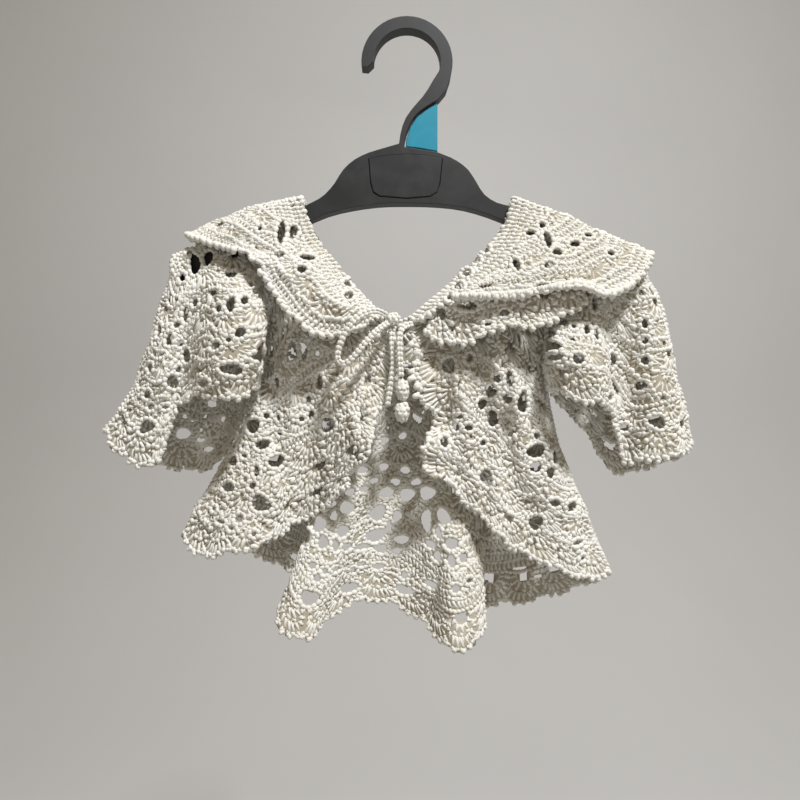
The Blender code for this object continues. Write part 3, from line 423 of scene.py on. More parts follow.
# Openings between the stitches, by piece: middle in x and z, width and height, from the front
OPENINGS = {
    "back": (
        (-56.4, -317.5, 10.7, 10.1), (-38.9, -307.8, 8.3, 8.3), (-47.0, -312.6, 7.0, 9.5),
        (-41.3, -322.1, 8.2, 7.0), (-64.6, -325.8, 6.9, 5.7), (-53.4, -328.1, 6.9, 6.9),
        (-45.6, -330.0, 4.4, 8.8), (-38.9, -332.7, 3.8, 4.5), (-49.8, -305.1, 7.0, 3.8),
        (-19.7, -313.8, 8.6, 7.3), (-7.2, -316.5, 8.0, 8.0), (-12.5, -322.9, 4.7, 8.6),
        (-21.1, -328.4, 11.2, 6.6), (-4.5, -331.3, 9.3, 6.0), (-29.3, -334.8, 8.5, 2.6),
        (-17.8, -337.2, 7.9, 4.6), (-7.2, -338.4, 7.9, 4.0), (11.8, -317.5, 5.2, 9.8),
        (19.1, -323.5, 4.5, 8.3), (22.2, -313.2, 8.3, 8.3), (26.9, -328.5, 8.8, 8.8),
        (14.1, -331.3, 7.7, 7.1), (26.7, -338.6, 5.6, 8.1), (34.1, -337.1, 5.0, 5.0),
        (18.3, -337.8, 5.1, 9.5), (-28.2, -296.8, 6.5, 3.9), (-13.9, -300.7, 8.7, 4.7),
        (-0.5, -302.5, 8.0, 6.0), (12.5, -300.3, 8.5, 6.6), (-22.3, -292.3, 6.6, 3.9),
        (-8.2, -294.2, 6.7, 4.0), (5.5, -294.0, 6.7, 4.0), (-37.2, -298.0, 6.4, 3.8),
        (-29.2, -284.6, 5.8, 3.9), (-15.8, -283.7, 6.0, 4.0), (-1.8, -286.2, 6.0, 4.0),
        (-15.2, -265.8, 5.3, 4.0), (-3.2, -263.5, 4.7, 4.0), (-74.9, -343.7, 7.3, 4.0),
        (-59.7, -341.4, 4.3, 3.1), (-51.6, -345.0, 3.1, 3.7), (-56.3, -348.7, 3.7, 4.9),
        (-45.1, -345.1, 3.1, 2.5), (-35.6, -349.1, 3.2, 3.9), (-30.3, -346.1, 5.2, 2.6),
        (-19.3, -348.4, 7.2, 2.6), (-60.4, -359.7, 7.9, 6.7), (-37.7, -360.0, 7.7, 5.2),
        (28.7, -354.3, 5.5, 3.7), (37.4, -350.8, 3.7, 3.1), (-2.6, -362.5, 7.8, 4.6),
        (-2.6, -353.6, 3.9, 3.9), (13.9, -355.6, 6.4, 3.8),
    ),
    "front_left": (
        (-102.9, -243.7, 5.2, 4.5), (-107.3, -255.4, 3.2, 8.4), (-98.0, -255.7, 6.4, 7.6),
        (-112.3, -266.3, 3.9, 7.1), (-103.5, -269.0, 3.2, 3.8), (-91.1, -267.2, 6.8, 5.0),
        (-102.2, -274.5, 4.4, 3.2), (-111.1, -278.1, 5.7, 5.7), (-89.3, -249.2, 3.8, 3.1),
        (-81.7, -250.4, 3.1, 3.7), (-80.6, -260.2, 3.1, 3.1), (-82.0, -277.0, 6.8, 5.5),
        (-93.2, -283.2, 3.7, 5.5), (-100.3, -288.3, 3.7, 3.7), (-95.2, -291.9, 4.9, 4.9),
        (-112.1, -293.8, 8.2, 3.8), (-89.8, -301.9, 8.5, 7.3), (-102.7, -311.7, 4.9, 3.7),
        (-115.3, -314.1, 4.9, 2.5), (-107.3, -317.0, 4.3, 2.4), (-93.1, -319.9, 3.0, 2.4),
        (-121.4, -307.8, 3.1, 2.5), (-62.9, -240.1, 3.8, 6.3), (-61.1, -248.9, 3.8, 5.7),
        (-67.3, -251.0, 3.1, 3.1), (-55.1, -228.0, 3.7, 7.4), (-49.8, -254.7, 6.2, 8.0),
        (-72.4, -208.7, 5.0, 13.7), (-65.4, -208.1, 5.0, 11.9), (-82.7, -227.3, 2.5, 6.9),
        (-56.2, -209.4, 3.1, 5.0),
    ),
    "sleeve_left_front": (
        (-132.0, -178.9, 3.7, 5.0), (-104.9, -183.2, 5.3, 7.1), (-112.6, -185.2, 4.2, 4.2),
        (-139.0, -185.9, 3.1, 8.1), (-97.6, -180.6, 3.6, 4.1), (-156.8, -195.6, 3.2, 6.9),
        (-144.3, -192.5, 3.8, 3.8), (-98.6, -200.1, 5.8, 5.8), (-104.8, -204.2, 4.1, 3.5),
        (-113.0, -207.6, 5.3, 4.1), (-148.3, -201.7, 3.1, 7.5), (-142.4, -204.1, 3.8, 3.8),
        (-137.0, -211.9, 6.2, 7.4), (-89.5, -213.9, 7.1, 4.7), (-95.2, -217.3, 4.1, 3.5),
        (-103.3, -221.2, 9.3, 5.8), (-161.8, -219.1, 3.8, 5.0), (-142.9, -220.4, 3.8, 5.0),
        (-146.3, -228.0, 5.6, 7.5), (-121.0, -229.2, 5.9, 4.1), (-162.4, -236.1, 4.4, 4.4),
        (-160.2, -243.6, 3.8, 3.8), (-151.1, -243.6, 3.7, 2.5), (-141.3, -244.1, 4.3, 3.7),
        (-162.7, -256.0, 8.1, 6.2), (-134.8, -153.4, 5.7, 10.8), (-126.3, -149.8, 4.4, 8.9),
        (-142.8, -161.8, 3.8, 4.4), (-139.5, -145.2, 3.2, 3.2),
    ),
    "sleeve_left_back": (
        (-132.7, -241.9, 5.4, 4.7), (-134.5, -272.3, 6.1, 3.4), (-145.8, -253.4, 3.4, 2.7),
        (-140.1, -266.2, 5.4, 2.7), (-124.6, -252.0, 3.4, 3.4), (-150.2, -250.4, 4.7, 4.1),
        (-151.5, -262.0, 8.1, 5.4),
    ),
    "collar_left": (
        (-91.3, -134.0, 2.5, 3.7), (-78.1, -152.4, 5.4, 3.6), (-78.5, -137.0, 3.1, 12.9),
        (-71.7, -135.4, 3.1, 8.7), (-61.9, -152.7, 7.3, 3.0), (-64.0, -161.6, 5.4, 3.6),
        (-37.7, -159.8, 3.8, 3.8), (-37.4, -167.4, 4.3, 3.7), (-36.8, -175.9, 4.3, 4.3),
        (-100.1, -152.2, 6.6, 3.6), (-91.1, -159.3, 5.4, 3.0),
    ),
    "collar_right": (
        (82.8, -131.4, 3.7, 3.7), (75.5, -136.6, 4.9, 3.1), (84.9, -142.1, 3.7, 8.6),
        (102.3, -143.7, 5.5, 3.7), (111.9, -137.1, 4.4, 2.5), (125.5, -148.6, 4.3, 3.1),
        (89.7, -150.3, 6.0, 3.6), (83.6, -159.1, 5.4, 3.6), (79.9, -172.4, 7.7, 3.0),
        (64.5, -158.7, 3.6, 6.6), (42.2, -152.2, 4.4, 4.4), (36.2, -161.1, 4.3, 4.3),
        (31.0, -170.2, 4.3, 4.3), (26.1, -178.2, 4.2, 4.8), (20.2, -185.2, 3.0, 3.0),
        (48.6, -145.3, 3.8, 4.4),
    ),
    "collar_right_frill": (
        (35.2, -183.1, 8.4, 3.6), (57.0, -187.5, 6.0, 3.0), (47.3, -194.2, 4.2, 2.4),
    ),
    "sleeve_right_front": (
        (115.1, -179.6, 3.7, 7.4), (108.5, -196.5, 3.7, 5.5), (114.7, -199.4, 3.1, 6.1),
        (100.3, -194.8, 3.0, 3.0), (84.8, -206.3, 9.9, 4.3), (87.5, -198.3, 3.7, 3.7),
        (100.0, -215.0, 5.9, 4.7), (89.0, -213.6, 5.4, 3.0), (94.0, -191.4, 5.5, 3.7),
        (128.9, -214.0, 5.7, 6.9), (124.1, -237.4, 6.1, 4.3), (125.0, -250.4, 5.6, 3.7),
        (148.1, -191.5, 3.1, 5.7), (148.1, -202.1, 3.8, 3.8), (148.5, -214.7, 3.1, 5.0),
        (146.1, -230.4, 4.4, 4.4), (153.9, -252.8, 8.0, 5.6), (136.7, -256.7, 5.7, 3.8),
    ),
    "front_right": (
        (51.5, -233.3, 8.7, 9.3), (46.2, -241.7, 7.5, 8.2), (61.1, -238.3, 4.9, 6.1),
        (61.9, -226.9, 3.7, 8.6), (69.9, -240.4, 6.8, 10.5), (55.2, -225.7, 4.3, 4.9),
        (53.3, -250.7, 5.6, 7.5), (29.8, -256.2, 4.3, 4.3), (36.9, -256.1, 4.9, 3.7),
        (21.8, -265.3, 3.7, 6.1), (46.5, -266.1, 4.4, 3.1), (31.8, -249.7, 3.7, 2.5),
        (79.5, -271.2, 10.7, 8.2), (79.1, -281.0, 8.1, 5.6), (80.5, -261.9, 3.8, 3.8),
        (89.0, -284.6, 4.4, 7.6), (92.0, -275.2, 3.2, 8.8), (48.2, -287.6, 5.6, 8.1),
        (102.3, -306.3, 6.3, 4.4), (80.1, -316.4, 6.2, 7.5), (105.8, -328.9, 6.3, 2.5),
        (109.1, -338.4, 3.1, 2.5), (91.3, -303.7, 5.6, 3.8), (37.5, -213.2, 4.3, 4.9),
        (25.1, -218.1, 5.6, 8.1),
    ),
}


def unit(vectors: Array) -> Array:
    """Directions of vectors that lie along the last axis."""
    return vectors / (np.linalg.norm(vectors, axis=-1, keepdims=True) + 1e-9)


def run_along(line: Array) -> Array:
    """Distance from a line's start to each of its points."""
    return np.concatenate(([0.0], np.cumsum(np.linalg.norm(np.diff(line, axis=0), axis=1))))


def read_line(places: Array, runs: Array, line: Array) -> Array:
    """Points of a line at the given distances along it."""
    return np.stack([np.interp(places, runs, values) for values in line.T], axis=1)


def tangents(knots: Array, points: Array, level: bool) -> Array:
    """Slope of a smooth curve at each of its points.

    Args:
        knots: where the points are along the curve.
        points: the points, first axis along the curve.
        level: whether the curve may never swing past its points.

    Returns:
        One slope for each point.
    """
    steps = np.diff(knots).reshape((-1,) + (1,) * (points.ndim - 1))
    rates = np.diff(points, axis=0) / steps
    before, after = rates[:-1], rates[1:]
    inner = (before * steps[1:] + after * steps[:-1]) / (steps[:-1] + steps[1:])
    if level:
        limit = 2.0 * np.minimum(np.abs(before), np.abs(after))
        inner = np.where(before * after > 0.0, np.clip(inner, -limit, limit), 0.0)
    return np.concatenate((rates[:1], inner, rates[-1:]))


def spline(knots: Sequence, points: Sequence, places: Sequence, level: bool = False) -> Array:
    """Smooth curve through the points, read at the given places along its knots.

    Args:
        knots: where the points are along the curve.
        points: the points, first axis along the curve.
        places: where the curve is read.
        level: whether the curve may never swing past its points.

    Returns:
        The curve's points at the places.
    """
    knots, points = np.asarray(knots, float), np.asarray(points, float)
    places = np.asarray(places, float)
    slopes = tangents(knots, points, level)
    spans = np.clip(np.searchsorted(knots, places, side="right") - 1, 0, len(knots) - 2)
    width = knots[spans + 1] - knots[spans]
    t = (places - knots[spans]) / width
    shape = (-1,) + (1,) * (points.ndim - 1)
    t, width = t.reshape(shape), width.reshape(shape)
    return (
        points[spans] * (2 * t**3 - 3 * t**2 + 1)
        + points[spans + 1] * (3 * t**2 - 2 * t**3)
        + slopes[spans] * width * (t**3 - 2 * t**2 + t)
        + slopes[spans + 1] * width * (t**3 - t**2)
    )


def chord_knots(lines: Array) -> Array:
    """Knots across a panel, spaced by the mean distance between its fold lines."""
    steps = np.linalg.norm(np.diff(lines, axis=0), axis=2).mean(axis=1)
    knots = np.concatenate(([0.0], np.cumsum(steps)))
    return knots / knots[-1]


def panel_surface(lines: Array, stations: Sequence, across: Sequence, down: Sequence) -> Array:
    """Points of a panel at shares across it and down it, as an array across by down by 3."""
    columns = spline(stations, lines.transpose(1, 0, 2), down, level=True)
    return spline(chord_knots(lines), columns.transpose(1, 0, 2), across)


def drape(fold: Fold, side: int) -> tuple:
    """Fold line with the two points where it goes over the hanger's arm, or past the neck.

    Args:
        fold: the table's row.
        side: which way the piece faces.

    Returns:
        Its points at the six stations.
    """
    top, chest = np.array(seam_point(fold.top, side), float), np.array(fold.chest, float)
    if abs(top[1]) < LAYER:
        crest = (top[0], side * CREST_OUT, top[2] - CREST_DOWN)
        yoke = (top[0], side * YOKE_OUT, top[2] - YOKE_DOWN)
    else:
        crest = top + NECK_CREST * (chest - top)
        yoke = top + NECK_YOKE * (chest - top)
    return (top, crest, yoke, fold.chest, fold.waist, fold.hem)


def fold_lines(folds: Sequence[Fold], side: int) -> Array:
    """Fold table as an array: fold lines, stations, coordinates."""
    return np.array([drape(fold, side) for fold in folds], float)


def back_lines() -> Array:
    """The back's fold lines, from its neck rows and its hem folds."""
    places = np.array(sorted({fold.share for fold in BACK_HEM} | set(BACK_CORNERS)))
    neck_shares = [row.share for row in BACK_NECK]
    neck = [seam_point(row.top, REAR) for row in BACK_NECK]
    tops = spline(neck_shares, neck, places, level=True)
    chests = spline(neck_shares, [row.chest for row in BACK_NECK], places)
    hem_shares = [fold.share for fold in BACK_HEM]
    waists = spline(hem_shares, [fold.waist_y for fold in BACK_HEM], places)
    hems = spline(hem_shares, [fold.hem for fold in BACK_HEM], places)
    folds = []
    for share, top, chest, waist_y, hem in zip(places, tops, chests, waists, hems):
        x = BACK_WAIST_LEFT[0] + share * (BACK_WAIST_RIGHT[0] - BACK_WAIST_LEFT[0])
        z = BACK_WAIST_LEFT[1] - BACK_WAIST_DROP * sin(pi * share)
        folds.append(Fold("", tuple(top), tuple(chest), (x, waist_y, z), tuple(hem)))
    return fold_lines(folds, REAR)


def rib_lines(ribs: Sequence[Rib]) -> Array:
    """Collar table as an array."""
    return np.array([(rib.neck, rib.crest, rib.edge) for rib in ribs], float)


def wall_normals(lines: Array, places: Array) -> Array:
    """Outward direction of the collar where the frill is rooted under it.

    Args:
        lines: the collar's ribs.
        places: shares along the collar.

    Returns:
        Unit directions, one for each place.
    """
    step = 0.01
    here = panel_surface(lines, COLLAR_STATIONS, places, (FRILL_ROOT,))[:, 0]
    along = panel_surface(lines, COLLAR_STATIONS, places + step, (FRILL_ROOT,))[:, 0] - here
    across = panel_surface(lines, COLLAR_STATIONS, places, (FRILL_ROOT + step,))[:, 0] - here
    normal = np.cross(along, across)
    return unit(normal * -np.sign(normal[:, 1:2]))


def frill_lines() -> Array:
    """The frill's ribs: a root under the collar's own wall, a belly, and its shelled edge."""
    places = np.linspace(FRILL_START, FRILL_END, len(FRILL_EDGE))
    collar = rib_lines(COLLAR_RIGHT)
    roots = panel_surface(collar, COLLAR_STATIONS, places, (FRILL_ROOT,))[:, 0]
    roots = roots - (LAYER + FRILL_CLEARANCE) * wall_normals(collar, places)
    edges = np.array([point for _, point in FRILL_EDGE], float)
    return np.stack((roots, 0.5 * (roots + edges), edges), axis=1)


@dataclass(frozen=True)
class Ruffle:
    """Waves of a shelled front edge, dying away into the panel.

    Attributes:
        edge: share across of the edge.
        start: where the first wave starts, in waves.
        sway: how far they swing sideways, in millimetres.
        waves: how many there are.
        depth: how far they swing outward, in millimetres.
        reach: share across over which they die away.
    """

    edge: float
    start: float
    sway: float
    waves: float = 3.0
    depth: float = 5.0
    reach: float = 0.28

    def apply(self, points: Array, across: Array, down: Array) -> Array:
        """Move a panel's points.

        Args:
            points: across by down by 3, in millimetres.
            across: their shares across the panel.
            down: their shares down it.

        Returns:
            The moved points.
        """
        near = np.clip(1.0 - np.abs(across - self.edge) / self.reach, 0.0, 1.0) ** 1.5
        below = np.clip((down - 0.12) / 0.15, 0.0, 1.0)
        wave = np.sin(2 * pi * (self.waves * down - self.start)) * below
        move = near[:, None] * wave[None, :]
        points[:, :, 1] -= self.depth * move
        points[:, :, 0] += self.sway * move
        return points


class Origin(Enum):
    """The edge from which a run of work is measured."""

    HEM = "hem"
    TOP = "top"
    START_EDGE = "start edge"
    FINAL_EDGE = "final edge"


@dataclass
class Surface:
    """Smooth wall of one piece. Shares run evenly down each column by its length.

    Attributes:
        lines: fold lines or ribs, stations, coordinates.
        stations: shares down of the stations.
        side: which way the piece faces.
        ruffle: waves along a front edge, where it has them.
        creases: its small folds.
        points: its points, across by down by 3, in millimetres.
        normals: outward direction at each point.
        lengths: length of each column.
        widths: width of each row.
    """

    lines: Array
    stations: Sequence
    side: Side
    ruffle: Optional[Ruffle] = None
    creases: Sequence[Crease] = ()
    points: Array = field(init=False)
    normals: Array = field(init=False)
    lengths: Array = field(init=False)
    widths: Array = field(init=False)

    ACROSS = 361
    DOWN = 161
    CRUMPLE = 0.42
    FADE = 8.0

    def __post_init__(self) -> None:
        """Read the tables on a fine grid, then even out the columns."""
        across = np.linspace(0.0, 1.0, self.ACROSS)
        down = np.linspace(0.0, 1.0, 2 * self.DOWN)
        points = panel_surface(self.lines, self.stations, across, down)
        if self.ruffle:
            points = self.ruffle.apply(points, across, down)
        self.points, self.lengths = self._even_columns(points)
        along, fall = np.gradient(self.points, axis=0), np.gradient(self.points, axis=1)
        normals = unit(np.cross(along, fall))
        if np.sign(normals[..., 1].mean()) != self.side:
            normals = -normals
        self.normals = normals
        out = self._crumple(across)
        for crease in self.creases:
            out = out + self._fold(crease) * np.clip(self.side * normals[..., 1], 0.0, 1.0)
        self.points = self.points + normals * out[..., None]
        self.widths = self._row_widths()

    def _row_widths(self) -> Array:
        """Width of each row of the grid."""
        return np.linalg.norm(np.diff(self.points, axis=0), axis=2).sum(axis=0)

    def _crumple(self, across: Array) -> Array:
        """Low bumps and hollows of cloth that was never pressed.

        Args:
            across: shares across the piece.

        Returns:
            How far they lift each point of the grid, in millimetres.
        """
        first = self.points[0, 0].sum()
        down = np.linspace(0.0, 1.0, self.DOWN)[None] * self.lengths[:, None]
        out = across[:, None] * self._row_widths().mean()
        waves = np.sin(out / 5.3 + down / 9.0 + first) + 0.8 * np.sin(down / 4.4 - out / 11.0)
        waves = waves + 0.7 * np.sin(out / 8.7 - down / 6.1 + 0.5 * first)
        return self.CRUMPLE * waves * np.clip((down - 12.0) / 25.0, 0.0, 1.0)

    def _fold(self, crease: Crease) -> Array:
        """Lift of one crease, which fades out towards both its ends.

        Args:
            crease: the fold.

        Returns:
            How far it lifts each point of the grid, in millimetres.
        """
        place = self.points[..., (0, 2)]
        nearest = np.full(place.shape[:2], 1e9)
        signed, fade = np.zeros_like(nearest), np.zeros_like(nearest)
        line = np.array(crease.line, float)
        runs = run_along(line)
        for start, end, run in zip(line[:-1], line[1:], runs):
            way = end - start
            length = np.hypot(*way)
            way = way / length
            along = np.clip((place - start) @ way, 0.0, length)
            off = place - start - along[..., None] * way
            distance = np.hypot(off[..., 0], off[..., 1])
            closer = distance < nearest
            nearest = np.where(closer, distance, nearest)
            left = off[..., 0] * -way[1] + off[..., 1] * way[0]
            signed = np.where(closer, np.copysign(distance, left), signed)
            ends = np.minimum(run + along, runs[-1] - run - along)
            fade = np.where(closer, np.clip(0.25 + ends / self.FADE, 0.0, 1.0), fade)
        if crease.edge:
            lift = np.clip(0.5 + 0.5 * signed / crease.edge, 0.0, 1.0)
            lift = lift * lift * (3 - 2 * lift)
            lift = lift * np.exp(-np.maximum(signed - crease.edge, 0.0) / crease.width)
        else:
            lift = np.exp(-((nearest / crease.width) ** 2))
        return crease.rise * fade * lift

    def _even_columns(self, points: Array) -> tuple[Array, Array]:
        """Resample each column evenly by its length.

        Args:
            points: across by down by 3.

        Returns:
            The new points, and the length of each column.
        """
        runs = [run_along(column) for column in points]
        even = [read_line(np.linspace(0.0, run[-1], self.DOWN), run, column)
                for run, column in zip(runs, points)]
        return np.array(even), np.array([run[-1] for run in runs])

    def read(self, across: Array, down: Array) -> tuple[Array, Array]:
        """Points and outward directions at shares across and down, also a little outside.

        Args:
            across: shares across the piece.
            down: shares down it.

        Returns:
            Points in millimetres, and unit normals.
        """
        x = np.asarray(across) * (self.ACROSS - 1)
        y = np.asarray(down) * (self.DOWN - 1)
        i = np.clip(np.floor(x).astype(int), 0, self.ACROSS - 2)
        j = np.clip(np.floor(y).astype(int), 0, self.DOWN - 2)
        fx, fy = (x - i)[..., None], (y - j)[..., None]

        def mix(grid: Array) -> Array:
            """Weigh the four grid values round each place."""
            near = grid[i, j] * (1 - fx) + grid[i + 1, j] * fx
            far = grid[i, j + 1] * (1 - fx) + grid[i + 1, j + 1] * fx
            return near * (1 - fy) + far * fy

        return mix(self.points), unit(mix(self.normals))

    def length_at(self, across: Array) -> Array:
        """Length of the column at each share across."""
        return np.interp(across, np.linspace(0.0, 1.0, self.ACROSS), self.lengths)

    def width_at(self, down: Array) -> Array:
        """Width of the row at each share down."""
        return np.interp(down, np.linspace(0.0, 1.0, self.DOWN), self.widths)

    def inward(self, edge: Origin, across: Array, down: Array) -> Array:
        """Distance of places from one of the two side edges."""
        return (across if edge is Origin.START_EDGE else 1.0 - across) * self.width_at(down)

    def flat_size(self) -> tuple[tuple, float]:
        """Flat size of the cut, measured over the hanging piece.

        Returns:
            (width, length) in metres, and the area in square metres.
        """
        steps_u = np.diff(self.points, axis=0)[:, :-1]
        steps_v = np.diff(self.points, axis=1)[:-1]
        area = np.linalg.norm(np.cross(steps_u, steps_v), axis=2).sum() * MM**2
        width, length = self.widths.max() * MM, self.lengths.max() * MM
        return (round(float(width), 3), round(float(length), 3)), round(float(area), 4)


SEAMS = (Origin.START_EDGE, Origin.FINAL_EDGE, Origin.TOP)
Zone = Callable[[Array, Array], Array]


@dataclass
class Row:
    """A run of work at one height above an edge of a surface.

    Attributes:
        surface: the wall that it lies on.
        origin: the edge from which heights are measured.
        height: the height whose length sets the spacing, in millimetres.
        zone: says which places across and down are free, where not all are.
        shares: shares along the edge, at even steps.
        runs: distance along the run at each of them.
    """

    surface: Surface
    origin: Origin
    height: float
    zone: Optional[Zone] = None
    shares: Array = field(init=False)
    runs: Array = field(init=False)

    STEPS = 181

    def __post_init__(self) -> None:
        """Measure the run."""
        self.shares = np.linspace(0.0, 1.0, self.STEPS)
        if self.origin in (Origin.START_EDGE, Origin.FINAL_EDGE):
            self.shares = self.shares[::-1]
        across, down = self._place(self.shares, self.height)
        self.runs = run_along(self.surface.read(np.clip(across, 0, 1), np.clip(down, 0, 1))[0])

    @property
    def length(self) -> float:
        """Length of the whole run in millimetres."""
        return float(self.runs[-1])

    def _place(self, share: Array, height: Array) -> tuple[Array, Array]:
        """Turn a share along the edge and a height above it into a place.

        Args:
            share: shares along the edge.
            height: heights above it, or one for all.

        Returns:
            Shares across and down.
        """
        if self.origin is Origin.HEM:
            return share, 1.0 - height / self.surface.length_at(share)
        if self.origin is Origin.TOP:
            return share, height / self.surface.length_at(share)
        inward = height / self.surface.width_at(share)
        if self.origin is Origin.START_EDGE:
            return inward, share
        return 1.0 - inward, share

    def place(self, run: Array, height: Array) -> tuple[Array, Array]:
        """Shares across and down of a distance along the run and a height above the edge."""
        return self._place(np.interp(run, self.runs, self.shares), height)

    def at(self, height: float) -> "Row":
        """The run at another height above the same edge."""
        return Row(self.surface, self.origin, height, self.zone)

    def spread(self, count: int) -> Array:
        """Middles of so many equal lengths of the run."""
        return (np.arange(count) + 0.5) * self.length / count


def add_object(name: str, data: bpy.types.ID) -> bpy.types.Object:
    """New object of the scene that carries the data."""
    item = bpy.data.objects.new(name, data)
    bpy.context.scene.collection.objects.link(item)
    return item


def mesh_object(name: str, points: Array, faces: Array) -> bpy.types.Object:
    """Object with a mesh of faces that all have as many sides.

    Args:
        name: the name of both.
        points: the vertices in millimetres.
        faces: three or four vertex numbers for each face.

    Returns:
        The object, smooth shaded, in metres.
    """
    mesh = bpy.data.meshes.new(name)
    mesh.vertices.add(len(points))
    mesh.vertices.foreach_set("co", (points * MM).astype(np.float32).ravel())
    mesh.loops.add(faces.size)
    mesh.loops.foreach_set("vertex_index", faces.astype(np.int32).ravel())
    mesh.polygons.add(len(faces))
    starts = np.arange(0, faces.size, faces.shape[1], dtype=np.int32)
    mesh.polygons.foreach_set("loop_start", starts)
    mesh.update(calc_edges=True)
    mesh.validate()
    mesh.shade_smooth()
    return add_object(name, mesh)


def joined(parts: Sequence[tuple]) -> tuple[Array, Array]:
    """Several sets of vertices and faces as one.

    Args:
        parts: vertices and faces of each.

    Returns:
        All the vertices, and all the faces.
    """
    shifts = np.cumsum([0] + [len(points) for points, _ in parts])
    faces = [faces + shift for (_, faces), shift in zip(parts, shifts)]
    return np.concatenate([points for points, _ in parts]), np.concatenate(faces)


def stacked(points: Array, faces: Array) -> tuple[Array, Array]:
    """Many copies of one small form as one set of vertices and faces.

    Args:
        points: copies by vertices by 3.
        faces: triangles of one copy.

    Returns:
        All the vertices, and all the faces.
    """
    copies, size = points.shape[:2]
    shifts = (np.arange(copies) * size)[:, None, None]
    return points.reshape(-1, 3), (faces[None] + shifts).reshape(-1, 3)


def spindle_faces(sides: int) -> Array:
    """Triangles of a closed spindle: a tip, two rings and a tip.

    Args:
        sides: points of a ring.

    Returns:
        Three vertex numbers for each.
    """
    faces = []
    for side in range(sides):
        low, high = 1 + side, 1 + (side + 1) % sides
        faces += [(0, high, low), (low, high, high + sides), (low, high + sides, low + sides),
                  (1 + 2 * sides, low + sides, high + sides)]
    return np.array(faces)


class Yarn:
    """Small forms of yarn, made many at a time."""

    SIDES = 4
    BEAD_SIDES = 5
    STRAND_SHARES = np.array([-0.04, 0.16, 0.84, 1.04])
    BEAD_SHARES = np.array([-0.6, -0.25, 0.25, 0.6])
    TWIST = 0.9 * pi

    @classmethod
    def strands(cls, start: Array, end: Array, normal: Array, thick: Array, turn: Array) -> tuple:
        """Columns of two strands that twist round each other.

        Args:
            start: lower ends.
            end: upper ends.
            normal: outward directions of the cloth.
            thick: how thick each is, 1 for the gauge's own.
            turn: where each one's twist starts, in radians.

        Returns:
            Vertices and faces.
        """
        way = end - start
        side = unit(np.cross(way, normal))
        shares = cls.STRAND_SHARES
        corners = np.arange(cls.SIDES) * 2 * pi / cls.SIDES
        made = []
        for strand in (0.0, pi):
            angle = turn[:, None] + strand + cls.TWIST * shares[None]
            out = TWIST_OUT * thick[:, None]
            centre = (
                start[:, None] + way[:, None] * shares[None, :, None]
                + (out * np.cos(angle))[..., None] * side[:, None]
                + (0.8 * out * np.sin(angle))[..., None] * normal[:, None]
            )
            made.append(cls._spindle(centre, side, normal, STRAND * thick[:, None], corners))
        size = made[0].shape[1]
        faces = spindle_faces(cls.SIDES)
        return stacked(np.concatenate(made, axis=1), np.concatenate((faces, faces + size)))

    @staticmethod
    def _spindle(centre: Array, side: Array, normal: Array, round_: Array, corners: Array,
                 lift: float = 1.0) -> Array:
        """Points of spindles: each a tip, two rings and a tip.

        Args:
            centre: the four middles of each.
            side: direction across each.
            normal: direction outward.
            round_: half thickness of each.
            corners: angles of a ring's points.
            lift: thickness outward as a share of that across.

        Returns:
            Points, spindles by points by 3.
        """
        rings = centre[:, 1:3, None] + (
            (round_ * np.cos(corners))[:, None, :, None] * side[:, None, None]
            + (round_ * lift * np.sin(corners))[:, None, :, None] * normal[:, None, None])
        rings = rings.reshape(len(centre), -1, 3)
        return np.concatenate((centre[:, :1], rings, centre[:, 3:]), axis=1)

    @classmethod
    def beads(cls, start: Array, end: Array, normal: Array, thick: Array,
              lift: float = 1.0) -> tuple:
        """Plump links of a chain, each from one point to another.

        Args:
            start: where each link starts.
            end: where it ends.
            normal: outward directions of the cloth.
            thick: half thickness in millimetres.
            lift: thickness outward as a share of that across.

        Returns:
            Vertices and faces.
        """
        way = end - start
        side = unit(np.cross(way, normal))
        middle = 0.5 * (start + end)
        corners = (np.arange(cls.BEAD_SIDES) + 0.25) * 2 * pi / cls.BEAD_SIDES
        centre = middle[:, None] + way[:, None] * cls.BEAD_SHARES[None, :, None]
        points = cls._spindle(centre, side, normal, thick[:, None], corners, lift)
        return stacked(points, spindle_faces(cls.BEAD_SIDES))


class Work(Enum):
    """Kinds of crochet work that fill a band of a piece."""

    SHELLS = "large shells round an open eye, as along a hem"
    SCALES = "rows of shells that take turns"
    NET = "net of chains"
    ROW = "dense row of columns"
    BARS = "columns in pairs with openings between them"
    TALL = "long drawn-out columns"


class Band(NamedTuple):
    """One band of work, counted from the edge that its rows are measured from."""

    work: Work
    height: float
    rows: int = 1
    pitch: float = 21.0
    phase: float = 0.0


